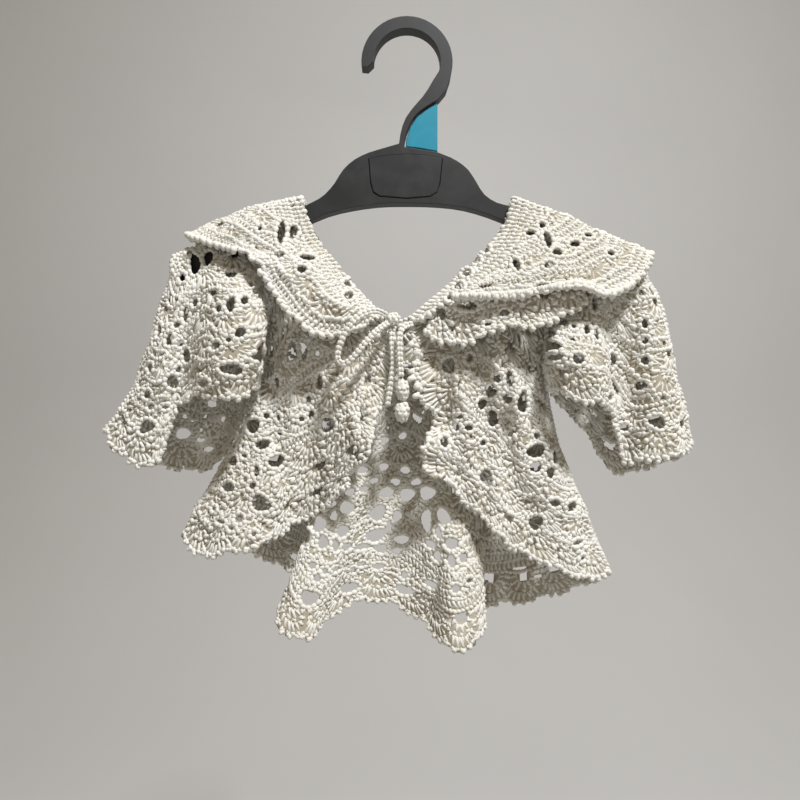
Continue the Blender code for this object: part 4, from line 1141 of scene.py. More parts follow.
@dataclass
class Lace:
    """Stitches of one piece, laid on its surface.

    Attributes:
        surface: the piece's wall.
        seed: start of its small irregularities.
        holes: its openings, each as a middle on the wall, with half sizes in the picture plane
            and two angles that make its outline uneven.
        posts: its columns: ends, outward directions, thickness, twist, and whether walled.
        links: its links of chain: ends, outward directions, thickness, and whether walled.
        eyes: middles of the open eyes of its shells.
    """

    surface: Surface
    seed: int
    holes: list = field(default_factory=list)
    posts: list = field(default_factory=list)
    links: list = field(default_factory=list)
    eyes: list = field(default_factory=list)

    REACH = radians(84)
    EYE = 4.6
    EYE_OPEN = 4.0
    EYE_CLEAR = 16.0
    LEAN = 0.95

    # Openings: growth of the table's sizes, for small ones and for those of a given size on,
    # width of the cord left between two, and what stays clear of them
    OPEN_SHARE = 1.26
    WIDE_SHARE = 0.1
    WIDE_FROM = 7.5
    CORD = 2.1
    CLEAR_MIDDLE, CLEAR_END, CLEAR_WALL = 2.0, 1.1, 0.8

    # Shares along a column at which the felted wall holds on to it
    HELD = (0.06, 0.35, 0.65, 0.94)

    # How far from its opening's middle a rim's stitch is seated on the wall
    SEAT_REACH = 14.0

    # Seam stitches: how near to the middle of the seam an edge lies that has them
    SEAM_NEAR = 2.0

    # How far a stitch stays from a run's ends, may pass the hem, and its least share down
    END_CLEAR, HEM_OVER, TOP_SHARE = 0.4, 2.4, 0.004

    # Spacing of the links along a row, and of the little bumps along a free edge
    LINK_STEP = 3.0
    PICOT_PITCH = 5.3

    # Rim round an opening: the chain's way out from its outline, and the columns' two ends
    RIM_CHAIN = 1.3
    RIM_COLUMNS = (1.9, 4.9)

    def __post_init__(self) -> None:
        """Start the irregularities."""
        self.random = np.random.default_rng(self.seed)
        self.phases = self.random.uniform(0.0, 2 * pi, 4)

    def _wander(self, run: Array, height: Array) -> tuple[Array, Array]:
        """Slow unevenness of hand work.

        Args:
            run: distances along a row.
            height: heights above its edge.

        Returns:
            Both, each shifted a little.
        """
        a, b, c, d = self.phases
        shift = 0.9 * np.sin(run / 9.1 + height / 14.0 + a)
        shift += 0.5 * np.sin(height / 5.7 - run / 17.0 + b)
        rise = 0.8 * np.sin(run / 11.3 + c) + 0.5 * np.sin(run / 5.1 + height / 16.0 + d)
        return run + shift, height + rise * np.clip(height / 6.0, 0.25, 1.0)

    def _ends(self, row: Row, ends: Sequence) -> tuple:
        """Lay two ends of many stitches on the wall, without those outside it or the row's zone.

        Args:
            row: the run that they are measured on.
            ends: run and height of the one end, and of the other.

        Returns:
            Points and outward directions of the one end, and of the other.
        """
        run0, high0, run1, high1 = (part.ravel() for part in np.broadcast_arrays(*ends))
        run0, high0 = self._wander(run0, high0)
        run1, high1 = self._wander(run1, high1)
        u0, v0 = row.place(run0, high0)
        u1, v1 = row.place(run1, high1)
        middle_run = 0.5 * (run0 + run1)
        u, v = 0.5 * (u0 + u1), 0.5 * (v0 + v1)
        keep = (middle_run > self.END_CLEAR) & (middle_run < row.length - self.END_CLEAR)
        keep &= (u > 0.0) & (u < 1.0) & (v > self.TOP_SHARE)
        keep &= (v - 1.0) * self.surface.length_at(u) < self.HEM_OVER
        if row.zone:
            keep &= row.zone(u, v)
        return (*self.surface.read(u0[keep], v0[keep]), *self.surface.read(u1[keep], v1[keep]))

    def columns(self, row: Row, ends: Sequence, thick: float = 1.0, lifts: tuple = (0.0, 0.0),
                walled: bool = True) -> None:
        """Add columns of yarn.

        Args:
            row: the run that they are measured on.
            ends: run and height of the one end, and of the other.
            thick: how thick they are.
            lifts: how far the two ends stand out from the wall.
            walled: whether the felted wall goes under them.
        """
        a, na, b, nb = self._ends(row, ends)
        size = len(a)
        a = a + na * lifts[0] + self.random.normal(0.0, 0.13, (size, 3))
        b = b + nb * lifts[1] + self.random.normal(0.0, 0.13, (size, 3))
        weight = thick * self.random.uniform(0.92, 1.08, size)
        turn = self.random.uniform(-0.5, 0.5, size)
        self.posts.append((a, b, unit(na + nb), weight, turn, np.full(size, walled)))

    def chain(self, row: Row, ends: Sequence, thick: float = BEAD_THICK, lift: float = 0.15,
              walled: bool = False) -> None:
        """Add links of chain.

        Args:
            row: the run that they are measured on.
            ends: run and height of the one end, and of the other.
            thick: half thickness in millimetres.
            lift: how far they stand out from the wall.
            walled: whether the felted wall goes under them.
        """
        a, na, b, nb = self._ends(row, ends)
        size = len(a)
        wander = self.random.normal(0.0, 0.10, (size, 3))
        tilt = self.random.normal(0.0, 0.16, (size, 1)) * na
        a, b = a + na * lift + wander + tilt, b + nb * lift + wander - tilt
        weight = thick * self.random.uniform(0.9, 1.1, size)
        self.links.append((a, b, unit(na + nb), weight, np.full(size, walled)))

    def line(self, row: Row, height: float, walled: bool = True) -> None:
        """Chain along a whole run at one height.

        Args:
            row: the run.
            height: of the chain, above the edge.
            walled: whether the felted wall goes under it.
        """
        count = max(3, round(row.length / self.LINK_STEP))
        start = np.arange(count) * row.length / count
        step = row.length / count
        high = height + self.random.normal(0.0, 0.18, count)
        lean = self.LEAN * (1 if round(height) % 2 else -1)
        self.chain(row, (start, high - lean, start + step, high + lean), walled=walled)

    def dense_row(self, row: Row, low: float, high: float) -> None:
        """Row of columns side by side, with the chain along its upper edge.

        Args:
            row: the run that they are measured on.
            low: lower end of the row.
            high: upper end of the row.
        """
        run = row.spread(max(3, round(row.length / GAUGE)))
        lean = self.random.normal(0.0, 0.15, len(run))
        self.columns(row, (run, low + 0.5, run + lean, high - 1.0))
        self.line(row, high - 0.3)

    def bars(self, row: Row, low: float, high: float, group: int, gap: float) -> None:
        """Columns in groups with openings between the groups.

        Args:
            row: the run that they are measured on.
            low: lower end of the band.
            high: upper end of the band.
            group: how many columns stand together.
            gap: width of an opening in millimetres.
        """
        pitch = group * GAUGE + gap
        count = max(2, round(row.length / pitch))
        pitch = row.length / count
        beside = (np.arange(group) - (group - 1) / 2) * GAUGE
        run = (((np.arange(count) + 0.5) * pitch)[:, None] + beside).ravel()
        lean = self.random.normal(0.0, 0.35, len(run))
        self.columns(row, (run, low + 0.4, run + lean, high - 0.9), walled=group > 1)
        self.line(row, high - 0.2, walled=False)

    def net(self, middle: Row, low: float, high: float, rows: int, pitch: float) -> None:
        """Net of chains: each row hangs from the middle of the loops above it.

        Args:
            middle: the run along the middle of the band.
            low: lower end of the band.
            high: upper end of the band.
            rows: how many rows of loops.
            pitch: width of a loop in millimetres.
        """
        count = max(2, round(middle.length / pitch))
        step = (high - low) / rows
        for turn in range(rows):
            top = high - turn * step
            row = middle.at(top - 0.5 * step)
            width = row.length / count
            knots = (np.arange(-1, count + 1) + 0.5 * (turn % 2)) * width
            knots = knots + self.random.normal(0.0, 0.3, len(knots))
            for way in (-0.5, 0.5):
                far = knots + way * width
                bend, mid = 0.5 * (knots + far) + 0.5 * way, top - 0.52 * step
                for ends in ((knots, top - 0.2, bend, mid), (bend, mid, far, top - step + 0.2)):
                    self.columns(row, ends, 1.12, walled=False)
            for shift in (-1.5, 0.0, 1.5):
                run, level = knots + shift, top - 0.35 * abs(shift)
                self.chain(row, (run - 1.3, level - 0.5, run + 1.3, level + 0.5),
                           1.75 - 0.2 * abs(shift))

    def shells(self, row: Row, centre: float, count: int, phase: float, rings: Sequence,
               picots: float = 0.0, floor: Optional[float] = None) -> None:
        """Row of shells: rings of columns that spread from an open eye towards the edge.

        Args:
            row: the run that they are measured on.
            centre: height of the eyes.
            count: how many shells.
            phase: shift along the row, in shells.
            rings: inner and outer radius of each ring.
            picots: radius of the row of little bumps round the edge, or 0.
            floor: height down to which the notches between shells are filled.
        """
        pitch = row.length / count
        half = 0.5 * pitch
        middles = (np.arange(-1, count + 1) + 0.5 + phase) * pitch
        middles = middles + self.random.normal(0.0, 0.35, len(middles))
        grow = self.random.normal(1.0, 0.02, len(middles))
        self._eyes(row, middles, centre)
        for inner, outer in rings:
            self._ring(row, middles, centre, half, grow, (inner, outer))
        if picots:
            self._picots(row, middles, centre, half, picots)
        notch = centre - np.sqrt(max(0.0, outer**2 - half**2))
        low = notch - 3.4 if floor is None else floor
        if not picots and notch - low > 1.5:
            valleys = middles + half
            for place in (-1, 0, 1):
                run = valleys + place * 2.1
                self.columns(row, (run, low + 0.5, run, notch - 0.2 - abs(place) * 1.2), 0.95)
            for place in (-1.5, -0.5, 0.5, 1.5):
                run = valleys + place * 2.3
                self.chain(row, (run - 1.3, low, run + 1.3, low))

    def _eyes(self, row: Row, middles: Array, centre: float) -> None:
        """Keep the eyes open, but fill those that lie near an opening of the table.

        Args:
            row: the run that they are measured on.
            middles: places of the shells along it.
            centre: height of the eyes.
        """
        spots = self.surface.read(*row.place(middles, centre - 0.6))[0]
        free = np.ones(len(spots), bool)
        for middle, _ in self.holes:
            free &= np.linalg.norm(spots - middle, axis=1) > self.EYE_CLEAR
        self.eyes.append(spots[free])
        shut = middles[~free][:, None]
        turns = np.linspace(-2.7, 2.7, 7)[None]
        out, up = np.sin(turns), np.cos(turns)
        self.columns(row, (shut + 0.9 * out, centre - 0.9 * up,
                           shut + 4.2 * out, centre - 4.2 * up))

    def _ring(self, row: Row, middles: Array, centre: float, half: float, grow: Array,
              radii: tuple) -> None:
        """One ring of columns round each eye, with the chain along its outer edge.

        Args:
            row: the run that they are measured on.
            middles: places of the shells along it.
            centre: height of the eyes.
            half: half the distance between two shells.
            grow: size of each shell.
            radii: inner and outer radius of the ring.
        """
        inner, outer = radii
        number = max(5, round(self.REACH * (inner + outer) / GAUGE))
        angles = np.linspace(-self.REACH, self.REACH, number)
        reach = np.minimum(outer, (half + 0.3) / (np.abs(np.sin(angles)) + 1e-6))
        keep = reach - inner > 2.2
        angles, reach = angles[keep], reach[keep]
        whole = np.broadcast_to(reach > outer - 0.6, (len(middles), len(angles)))
        angle = angles + self.random.normal(0.0, 0.02, whole.shape)
        m, size = middles[:, None], grow[:, None]
        across, down = np.sin(angle), np.cos(angle)
        near, far = inner * size, (reach - 0.9)[None] * size
        self.columns(row, (m + near * across, centre - near * down,
                           m + far * across, centre - far * down), lifts=(-0.35, 0.35))
        length, tilt = 0.46 * BEAD_LENGTH, 0.55
        near, far = (outer - 0.3 - tilt) * size, (outer - 0.3 + tilt) * size
        ends = (m + near * across - length * down, centre - near * down - length * across,
                m + far * across + length * down, centre - far * down + length * across)
        self.chain(row, [part[whole] for part in ends], lift=0.55, walled=True)

    def _picots(self, row: Row, middles: Array, centre: float, half: float,
                radius: float) -> None:
        """Row of little bumps round the edge of each shell, each a tip between two links.

        Args:
            row: the run that they are measured on.
            middles: places of the shells along it.
            centre: height of the eyes.
            half: half the distance between two shells.
            radius: of the row of bumps.
        """
        number = max(3, round(2 * np.arcsin(min(1.0, half / radius)) * radius / 5.0))
        spread = np.arcsin(min(1.0, (half - 0.9) / radius))
        angle, m = np.linspace(-spread, spread, number)[None], middles[:, None]
        across, down = np.sin(angle), np.cos(angle)
        for side, low, high, off, thick, lift in (
            (0, -1.4, 2.0, 0.0, 1.85, 0.3), (-1, -1.6, 0.2, 1.5, 1.25, 0.1),
            (1, -1.6, 0.2, 1.5, 1.25, 0.1),
        ):
            r0, r1 = radius + low, radius + high
            off0, off1 = side * off, side * 0.7
            self.chain(row, (m + r0 * across + off0 * down, centre - r0 * down + off0 * across,
                             m + r1 * across + off1 * down, centre - r1 * down + off1 * across),
                       thick, lift)

    def fill(self, bands: Sequence[Band], origin: Origin = Origin.HEM, zone: Optional[Zone] = None,
             start: float = 0.0) -> None:
        """Work a list of bands, one above the other.

        Args:
            bands: the bands, the nearest to the edge first.
            origin: the edge that heights are measured from.
            zone: says which places are free.
            start: height at which the first band starts.
        """
        low = start
        for band in bands:
            high = low + band.height * band.rows
            row = Row(self.surface, origin, 0.5 * (low + high), zone)
            if band.work is Work.SHELLS:
                count = max(1, round(row.length / band.pitch))
                rings = ((self.EYE, 10.6), (11.2, high - low - 4.4))
                self.shells(row, high - 3.0, count, band.phase, rings, picots=high - low - 3.2)
                self.line(row, high - 0.6)
            elif band.work is Work.SCALES:
                self._scales(row, low, high, band)
            elif band.work is Work.NET:
                self.net(row, low, high, band.rows, band.pitch)
            else:
                for turn in range(band.rows):
                    base = low + turn * band.height
                    part, top = row.at(base + 0.5 * band.height), base + band.height
                    if band.work is Work.ROW:
                        self.dense_row(part, base, top)
                    else:
                        self.bars(part, base, top, 2 if band.work is Work.BARS else 1, band.pitch)
            low = high

    def _scales(self, row: Row, low: float, high: float, band: Band) -> None:
        """Rows of shells that take turns, with a chain along the upper edge.

        Args:
            row: the run along the middle of the band.
            low: lower end of the band.
            high: upper end of the band.
            band: its rows, their height, and the shells' pitch and phase.
        """
        count = max(1, round(row.length / band.pitch))
        edges = np.linspace(self.EYE, band.height - 0.1, 2 if band.height < 16.0 else 3)
        rings = [(inner + 0.3, outer) for inner, outer in zip(edges[:-1], edges[1:])]
        for turn in range(band.rows):
            centre = high - 2.0 - turn * band.height
            self.shells(row.at(centre - 0.6 * band.height), centre, count,
                        band.phase + 0.5 * (turn % 2), rings,
                        floor=low if turn == band.rows - 1 else None)
        self.line(row, high - 0.2)

    def _seat(self, places: Array, about: Optional[Array] = None) -> tuple[Array, Array, Array]:
        """Seat places of the picture plane on the wall.

        Args:
            places: x and z of each place.
            about: a point of the wall to stay near, or none for the wall nearest the viewer.

        Returns:
            Points of the wall, unit normals, and which places lie on the wall at all.
        """
        points, normals = self.surface.points.reshape(-1, 3), self.surface.normals.reshape(-1, 3)
        if about is not None:
            near = np.linalg.norm(points - about, axis=1) < self.SEAT_REACH
            points, normals = points[near], normals[near]
        distance = np.hypot(points[:, 0] - places[:, :1], points[:, 2] - places[:, 1:])
        if about is None:
            close = distance < np.maximum(1.4, distance.min(axis=1) + 0.3)[:, None]
            picked = np.where(close, points[:, 1][None], 1e6).argmin(axis=1)
        else:
            picked = distance.argmin(axis=1)
        seats = points[picked]
        seats[:, [0, 2]] = places
        return seats, normals[picked], distance.min(axis=1) < 1.0

    def mark_openings(self, table: Sequence) -> None:
        """Note the openings of the piece, before any of its stitches.

        Args:
            table: middle in x and z, width and height of each.
        """
        for x, z, wide, high in table:
            middle = self._seat(np.array([[x, z]]))[0][0]
            share = self.OPEN_SHARE
            if max(wide, high) >= self.WIDE_FROM:
                share += self.WIDE_SHARE
            half = np.array([0.5 * wide, 0.5 * high]) * share
            self.holes.append((middle, np.append(half, self.random.uniform(0, 2 * pi, 2))))
        for index, (middle, form) in enumerate(self.holes):
            for other, rim in self.holes[:index]:
                off = other - middle
                apart = np.linalg.norm(off) + 1e-6
                way = np.abs(off[[0, 2]]) / apart
                reach = sum(1.0 / np.hypot(*(way / part[:2])) for part in (form, rim))
                if apart < reach + self.CORD:
                    shrink = max(0.5, (apart - self.CORD) / reach)
                    form[:2] *= shrink
                    rim[:2] *= shrink

    @staticmethod
    def _rim(form: Array, turn: Array) -> Array:
        """Uneven outline of an opening, as a share of its ellipse, at angles round it."""
        return 1.0 + 0.12 * np.cos(2 * turn + form[2]) + 0.11 * np.cos(3 * turn + form[3])

    def _inside(self, points: Array, margin: float, other: Optional[int] = None) -> Array:
        """Which points lie inside an opening, or within a margin of it.

        Args:
            points: places on the wall.
            margin: how far the openings are widened.
            other: number of an opening that doesn't count.

        Returns:
            True for each point inside.
        """
        inside = np.zeros(len(points), bool)
        for index, (middle, form) in enumerate(self.holes):
            if index == other:
                continue
            off = points - middle
            wide, high = off[:, 0] / (form[0] + margin), off[:, 2] / (form[1] + margin)
            share = np.hypot(wide, high) / self._rim(form, np.arctan2(high, wide))
            inside |= (share < 1.0) & (np.abs(off[:, 1]) < 9.0)
        return inside

    def _round(self, hole: tuple, turn: Array, margin: float) -> Array:
        """Places of the picture plane round an opening, a margin out from its outline.

        Args:
            hole: the opening's middle and form.
            turn: angles round it.
            margin: how far out.

        Returns:
            x and z of each place.
        """
        middle, form = hole
        way = np.stack((np.cos(turn), np.sin(turn)), axis=1)
        return middle[[0, 2]] + way * (form[:2] * self._rim(form, turn)[:, None] + margin)

    @staticmethod
    def _note(parts: list, keep: Array, *values: Array) -> None:
        """Add the stitches to keep to a list of stitches."""
        parts.append(tuple(value[keep] for value in values))

    def rim_openings(self) -> None:
        """Take away the stitches that cross an opening, and work a rim round each."""
        if not self.holes:
            return
        for parts in (self.posts, self.links):
            values = [np.concatenate(column) for column in zip(*parts)]
            start, end = values[:2]
            clear = ~self._inside(0.5 * (start + end), self.CLEAR_MIDDLE)
            clear &= ~self._inside(start, self.CLEAR_END) & ~self._inside(end, self.CLEAR_END)
            parts.clear()
            self._note(parts, clear, *values)
        for index, hole in enumerate(self.holes):
            middle, form = hole
            around = 2 * pi * np.sqrt(0.5 * ((form[:2] + 0.9) ** 2).sum())
            count = max(6, round(around / 3.0))
            turn = self.random.uniform(0.0, 1.0) + np.arange(count) * 2 * pi / count
            place = self._round(hole, turn, self.RIM_CHAIN)
            place = place + self.random.normal(0.0, 0.15, (count, 2))
            seats, normals, on = self._seat(place, middle)
            ahead = np.roll(seats, -1, axis=0)
            reach = 0.10 * (ahead - seats)
            keep = on & np.roll(on, -1) & ~self._inside(0.5 * (seats + ahead), 0.4, index)
            thick = BEAD_THICK * self.random.uniform(0.9, 1.15, count)
            rise = 0.35 * normals
            self._note(self.links, keep, seats - reach + rise, ahead + reach + rise, normals, thick,
                       np.zeros(count, bool))
            count = max(6, round((around + 5.0) / GAUGE))
            turn = (np.arange(count) + 0.5) * 2 * pi / count
            (a, normals, on), (b, _, also) = (self._seat(self._round(hole, turn, margin), middle)
                                              for margin in self.RIM_COLUMNS)
            keep = on & also & (np.linalg.norm(b - a, axis=1) < 5.5)
            for end in (a, b):
                keep &= ~self._inside(end, self.CLEAR_END, index)
            self._note(self.posts, keep, a, b, normals, self.random.uniform(0.9, 1.05, count),
                       self.random.uniform(-0.5, 0.5, count), np.ones(count, bool))

    def selvedge(self, origin: Origin, height: float = 0.6, picots: bool = False) -> None:
        """Chain along one edge: with little bumps if it is free, or whipped to the next piece.

        Args:
            origin: the edge.
            height: how far in from it the chain lies.
            picots: whether it is a free edge.
        """
        row = Row(self.surface, origin, height)
        self.line(row, height + (1.6 if picots else 0.0), walled=False)
        if not picots:
            self._whip(row)
            return
        count = max(3, round(row.length / self.PICOT_PITCH))
        run = row.spread(count) + self.random.normal(0.0, 0.25, count)
        low = height - 3.3 + self.random.normal(0.0, 0.3, count)
        self.chain(row, (run, low + 3.4, run, low), 2.5, 0.9)
        for way in (-1.0, 1.0):
            ends = (run + 1.9 * way, low + 4.6, run + 1.1 * way, low + 1.5)
            self.chain(row, ends, 1.6, 0.7)

    def bump_edge(self, places: Sequence) -> None:
        """Little bumps that hang from the crest of a rolled edge.

        Args:
            places: points of the crest in the picture plane, from left to right.
        """
        line = np.array(places)
        runs = run_along(line)
        run = np.arange(1.5, runs[-1] - 1.0, 5.0)
        run = run + self.random.normal(0.0, 0.25, len(run))
        place = read_line(run, runs, line)
        x, z = unit(read_line(run + 1.0, runs, line) - place).T
        seats, normals, on = self._seat(place)
        left, along = np.stack((-z, 0.0 * x, x), axis=1), np.stack((x, 0.0 * x, z), axis=1)
        for shift, thick, reach in ((0.0, 2.3, 2.3), (-1.8, 1.6, 1.5), (1.8, 1.6, 1.5)):
            middle = seats + shift * along + 0.9 * normals
            self._note(self.links, on, middle + 1.6 * left, middle - (reach + 0.6) * left, normals,
                       thick * self.random.uniform(0.9, 1.1, len(run)), np.zeros(len(run), bool))

    def _whip(self, row: Row) -> None:
        """Stitches from an edge to the middle of its seam, where the next piece lies behind it."""
        count = max(4, round(row.length / GAUGE))
        edge, inner = (self.surface.read(*row.place(row.spread(count), height))[0]
                       for height in (0.3, 2.7))
        away = unit(edge - inner)
        meet = edge + 0.3 * away
        meet[:, 1] = 0.0
        near = np.abs(edge[:, 1]) < self.SEAM_NEAR
        thick = BEAD_THICK * self.random.uniform(1.05, 1.25, count)
        self._note(self.links, near, edge, meet, away, thick, np.zeros(count, bool))

    def wall(self, name: str) -> bpy.types.Object:
        """Felted wall under the dense work: open wherever no stitch is near.

        Args:
            name: the object's name.

        Returns:
            The wall, a thin closed sheet.
        """
        start, end, *_, walled = (np.concatenate(values) for values in zip(*self.posts))
        start, end = start[walled], end[walled]
        held = [start + (end - start) * share for share in self.HELD]
        start, end, *_, walled = (np.concatenate(values) for values in zip(*self.links))
        held = np.concatenate((*held, 0.5 * (start + end)[walled]))
        tree = kdtree.KDTree(len(held))
        for index, point in enumerate(held):
            tree.insert(point, index)
        tree.balance()
        columns = max(4, round(self.surface.widths.mean() / WALL_CELL))
        rows = max(4, round(self.surface.lengths.mean() / WALL_CELL))
        u, v = np.meshgrid(np.linspace(0, 1, columns + 1), np.linspace(0, 1.01, rows + 1),
                           indexing="ij")
        corners = self.surface.read(u, v)[0]
        middles = 0.25 * (corners[:-1, :-1] + corners[1:, :-1] + corners[1:, 1:] + corners[:-1, 1:])
        flat = middles.reshape(-1, 3)
        near = np.array([tree.find(point)[2] < WALL_REACH for point in flat])
        for eye in (np.concatenate(self.eyes) if self.eyes else ()):
            near &= np.linalg.norm(flat - eye, axis=1) > self.EYE_OPEN
        near &= ~self._inside(flat, self.CLEAR_WALL)
        column, row = np.argwhere(near.reshape(columns, rows)).T
        start = column * (rows + 1) + row
        quads = np.stack((start, start + 1, start + rows + 2, start + rows + 1), axis=1)
        used, quads = np.unique(quads, return_inverse=True)
        item = mesh_object(name, corners.reshape(-1, 3)[used], quads.reshape(-1, 4))
        thick = item.modifiers.new("painted_shade_felt", "SOLIDIFY")
        thick.thickness = WALL * MM
        thick.offset = 0.0
        return item

    def yarn(self, name: str) -> list[bpy.types.Object]:
        """Columns and chains as two meshes.

        Args:
            name: first part of their names.

        Returns:
            The columns and the chains.
        """
        made = []
        for suffix, maker, parts in (("columns", Yarn.strands, self.posts),
                                     ("chains", Yarn.beads, self.links)):
            values = (np.concatenate(values) for values in list(zip(*parts))[:-1])
            made.append(mesh_object(f"{name}_{suffix}", *maker(*values)))
        return made


@dataclass(frozen=True)
class NodeLayout:
    """Places new shader nodes in a row and wires them."""

    tree: bpy.types.NodeTree

    def add(self, kind: str, **values: object) -> bpy.types.Node:
        """New node with its properties and unlinked inputs set.

        Args:
            kind: the node's type name.
            values: as for setting a node.

        Returns:
            The node.
        """
        node = self.tree.nodes.new(kind)
        node.location = (220.0 * len(self.tree.nodes), 0.0)
        self.set(node, **values)
        return node

    def set(self, node: bpy.types.Node, **values: object) -> None:
        """Set a node's properties, or its inputs where no property has the name.

        Args:
            node: the node.
            values: by name, with lines for spaces.
        """
        for key, value in values.items():
            if hasattr(node, key):
                setattr(node, key, value)
            else:
                node.inputs[key.replace("_", " ")].default_value = value

    def ramp(self, start: Sequence, end: Sequence, places: Sequence = (0.0, 1.0)) -> bpy.types.Node:
        """New ramp between two colours.

        Args:
            start: the one colour.
            end: the other.
            places: where they stand on the ramp.

        Returns:
            The node.
        """
        node = self.add("ShaderNodeValToRGB")
        for element, colour, place in zip(node.color_ramp.elements, (start, end), places):
            element.position, element.color = place, (*colour, 1.0)
        return node

    def wire(self, *links: tuple) -> None:
        """Make links, each from a node and its output to a node and its input."""
        for start, output, end, entry in links:
            self.tree.links.new(start.outputs[output], end.inputs[entry])


def shader_group(name: str, inputs: Sequence[tuple[str, float]],
                 outputs: Sequence[str]) -> bpy.types.NodeTree:
    """New shader node group with plain number inputs and outputs.

    Args:
        name: the group's name.
        inputs: names and starting values.
        outputs: names.

    Returns:
        The group, with its input and output nodes in place.
    """
    group = bpy.data.node_groups.new(name, "ShaderNodeTree")
    for label, value in inputs:
        socket = group.interface.new_socket(label, in_out="INPUT", socket_type="NodeSocketFloat")
        socket.default_value = value
    for label in outputs:
        group.interface.new_socket(label, in_out="OUTPUT", socket_type="NodeSocketFloat")
    group.nodes.new("NodeGroupInput")
    group.nodes.new("NodeGroupOutput")
    return group


class SharedEffects:
    """Shader groups that several finishes use, each built once."""

    def __init__(self) -> None:
        """Build the groups."""
        self.yarn = self._yarn()
        self.moulding = self._moulding()

    @staticmethod
    def _yarn() -> bpy.types.NodeTree:
        """Cotton yarn: soft mottling, soiling over larger patches, and a fibre relief."""
        group = shader_group("cotton_yarn", (("Mottle Scale", 260.0), ("Patch Scale", 14.0),
                                             ("Fibre Scale", 1500.0)),
                             ("Mottle", "Patch", "Relief"))
        make = NodeLayout(group)
        start, end = group.nodes["Group Input"], group.nodes["Group Output"]
        place = make.add("ShaderNodeTexCoord")
        mottle = make.add("ShaderNodeTexNoise", Detail=2.0, Roughness=0.6)
        patch = make.add("ShaderNodeTexNoise", Detail=3.0, Roughness=0.55)
        fibre = make.add("ShaderNodeTexNoise", Detail=3.0, Roughness=0.7, Distortion=0.6)
        coarse = make.add("ShaderNodeTexNoise", Detail=1.0, Scale=520.0)
        both = make.add("ShaderNodeMath", operation="MULTIPLY_ADD")
        both.inputs[1].default_value = 0.8
        for node, label in ((mottle, "Mottle"), (patch, "Patch"), (fibre, "Fibre")):
            make.wire((place, "Object", node, "Vector"), (start, f"{label} Scale", node, "Scale"))
        make.wire((place, "Object", coarse, "Vector"), (coarse, "Fac", both, 0),
                  (fibre, "Fac", both, 2), (mottle, "Fac", end, "Mottle"),
                  (patch, "Fac", end, "Patch"), (both, 0, end, "Relief"))
        return group

    @staticmethod
    def _moulding() -> bpy.types.NodeTree:
        """Moulded plastic: fine spark-eroded grain, handling marks and dust."""
        group = shader_group("moulded_grain", (("Grain Scale", 1700.0), ("Marks Scale", 55.0)),
                             ("Grain", "Marks", "Dust"))
        make = NodeLayout(group)
        start, end = group.nodes["Group Input"], group.nodes["Group Output"]
        place = make.add("ShaderNodeTexCoord")
        grain = make.add("ShaderNodeTexNoise", Detail=2.0, Roughness=0.5)
        marks = make.add("ShaderNodeTexNoise", Detail=4.0, Roughness=0.65, Distortion=0.8)
        dust = make.add("ShaderNodeTexNoise", Scale=190.0, Detail=3.0, Roughness=0.6)
        for node, label in ((grain, "Grain"), (marks, "Marks")):
            make.wire((place, "Object", node, "Vector"), (start, f"{label} Scale", node, "Scale"))
        up = make.add("ShaderNodeNewGeometry")
        part = make.add("ShaderNodeSeparateXYZ")
        facing = make.add("ShaderNodeMapRange", clamp=True, From_Min=-0.2, From_Max=0.9)
        settle = make.add("ShaderNodeMath", operation="MULTIPLY")
        make.wire((place, "Object", dust, "Vector"), (up, "Normal", part, 0),
                  (part, "Z", facing, "Value"), (facing, "Result", settle, 0),
                  (dust, "Fac", settle, 1), (grain, "Fac", end, "Grain"),
                  (marks, "Fac", end, "Marks"), (settle, 0, end, "Dust"))
        return group


def blank_material(name: str) -> tuple[bpy.types.Material, NodeLayout, bpy.types.Node]:
    """New material with its layout and its Principled shader."""
    material = bpy.data.materials.new(name)
    material.use_nodes = True
    return material, NodeLayout(material.node_tree), material.node_tree.nodes["Principled BSDF"]


@dataclass(frozen=True)
class CottonFinish:
    """Thick mercerised cotton yarn, worked by hand.

    Attributes:
        name: the material's name.
        light: colour of clean yarn.
        deep: colour where the yarn is mottled and a little soiled.
        roughness: of the yarn.
        sheen: strength of the fibres' bloom.
        relief: depth of the fibre relief in metres.
    """

    name: str
    light: tuple
    deep: tuple
    roughness: float = 0.82
    sheen: float = 0.22
    relief: float = 0.00022

    def build(self, effects: SharedEffects) -> bpy.types.Material:
        """Make the material.

        Args:
            effects: the shared groups.

        Returns:
            The material.
        """
        material, make, shader = blank_material(self.name)
        yarn = make.add("ShaderNodeGroup", node_tree=effects.yarn)
        mix = make.add("ShaderNodeMath", operation="MULTIPLY_ADD")
        mix.inputs[1].default_value = 0.55
        ramp = make.ramp(self.light, self.deep, (0.42, 0.95))
        rough = make.add("ShaderNodeMapRange", clamp=True, To_Min=self.roughness - 0.08,
                         To_Max=self.roughness + 0.08)
        bump = make.add("ShaderNodeBump", Strength=0.55, Distance=self.relief)
        make.wire((yarn, "Mottle", mix, 0), (yarn, "Patch", mix, 2), (mix, 0, ramp, "Fac"),
                  (ramp, "Color", shader, "Base Color"), (yarn, "Mottle", rough, "Value"),
                  (rough, "Result", shader, "Roughness"), (yarn, "Relief", bump, "Height"),
                  (bump, "Normal", shader, "Normal"))
        make.set(shader, Sheen_Weight=self.sheen, Sheen_Roughness=0.45, Specular_IOR_Level=0.28,
                 Sheen_Tint=(1.0, 0.96, 0.88, 1.0))
        return material


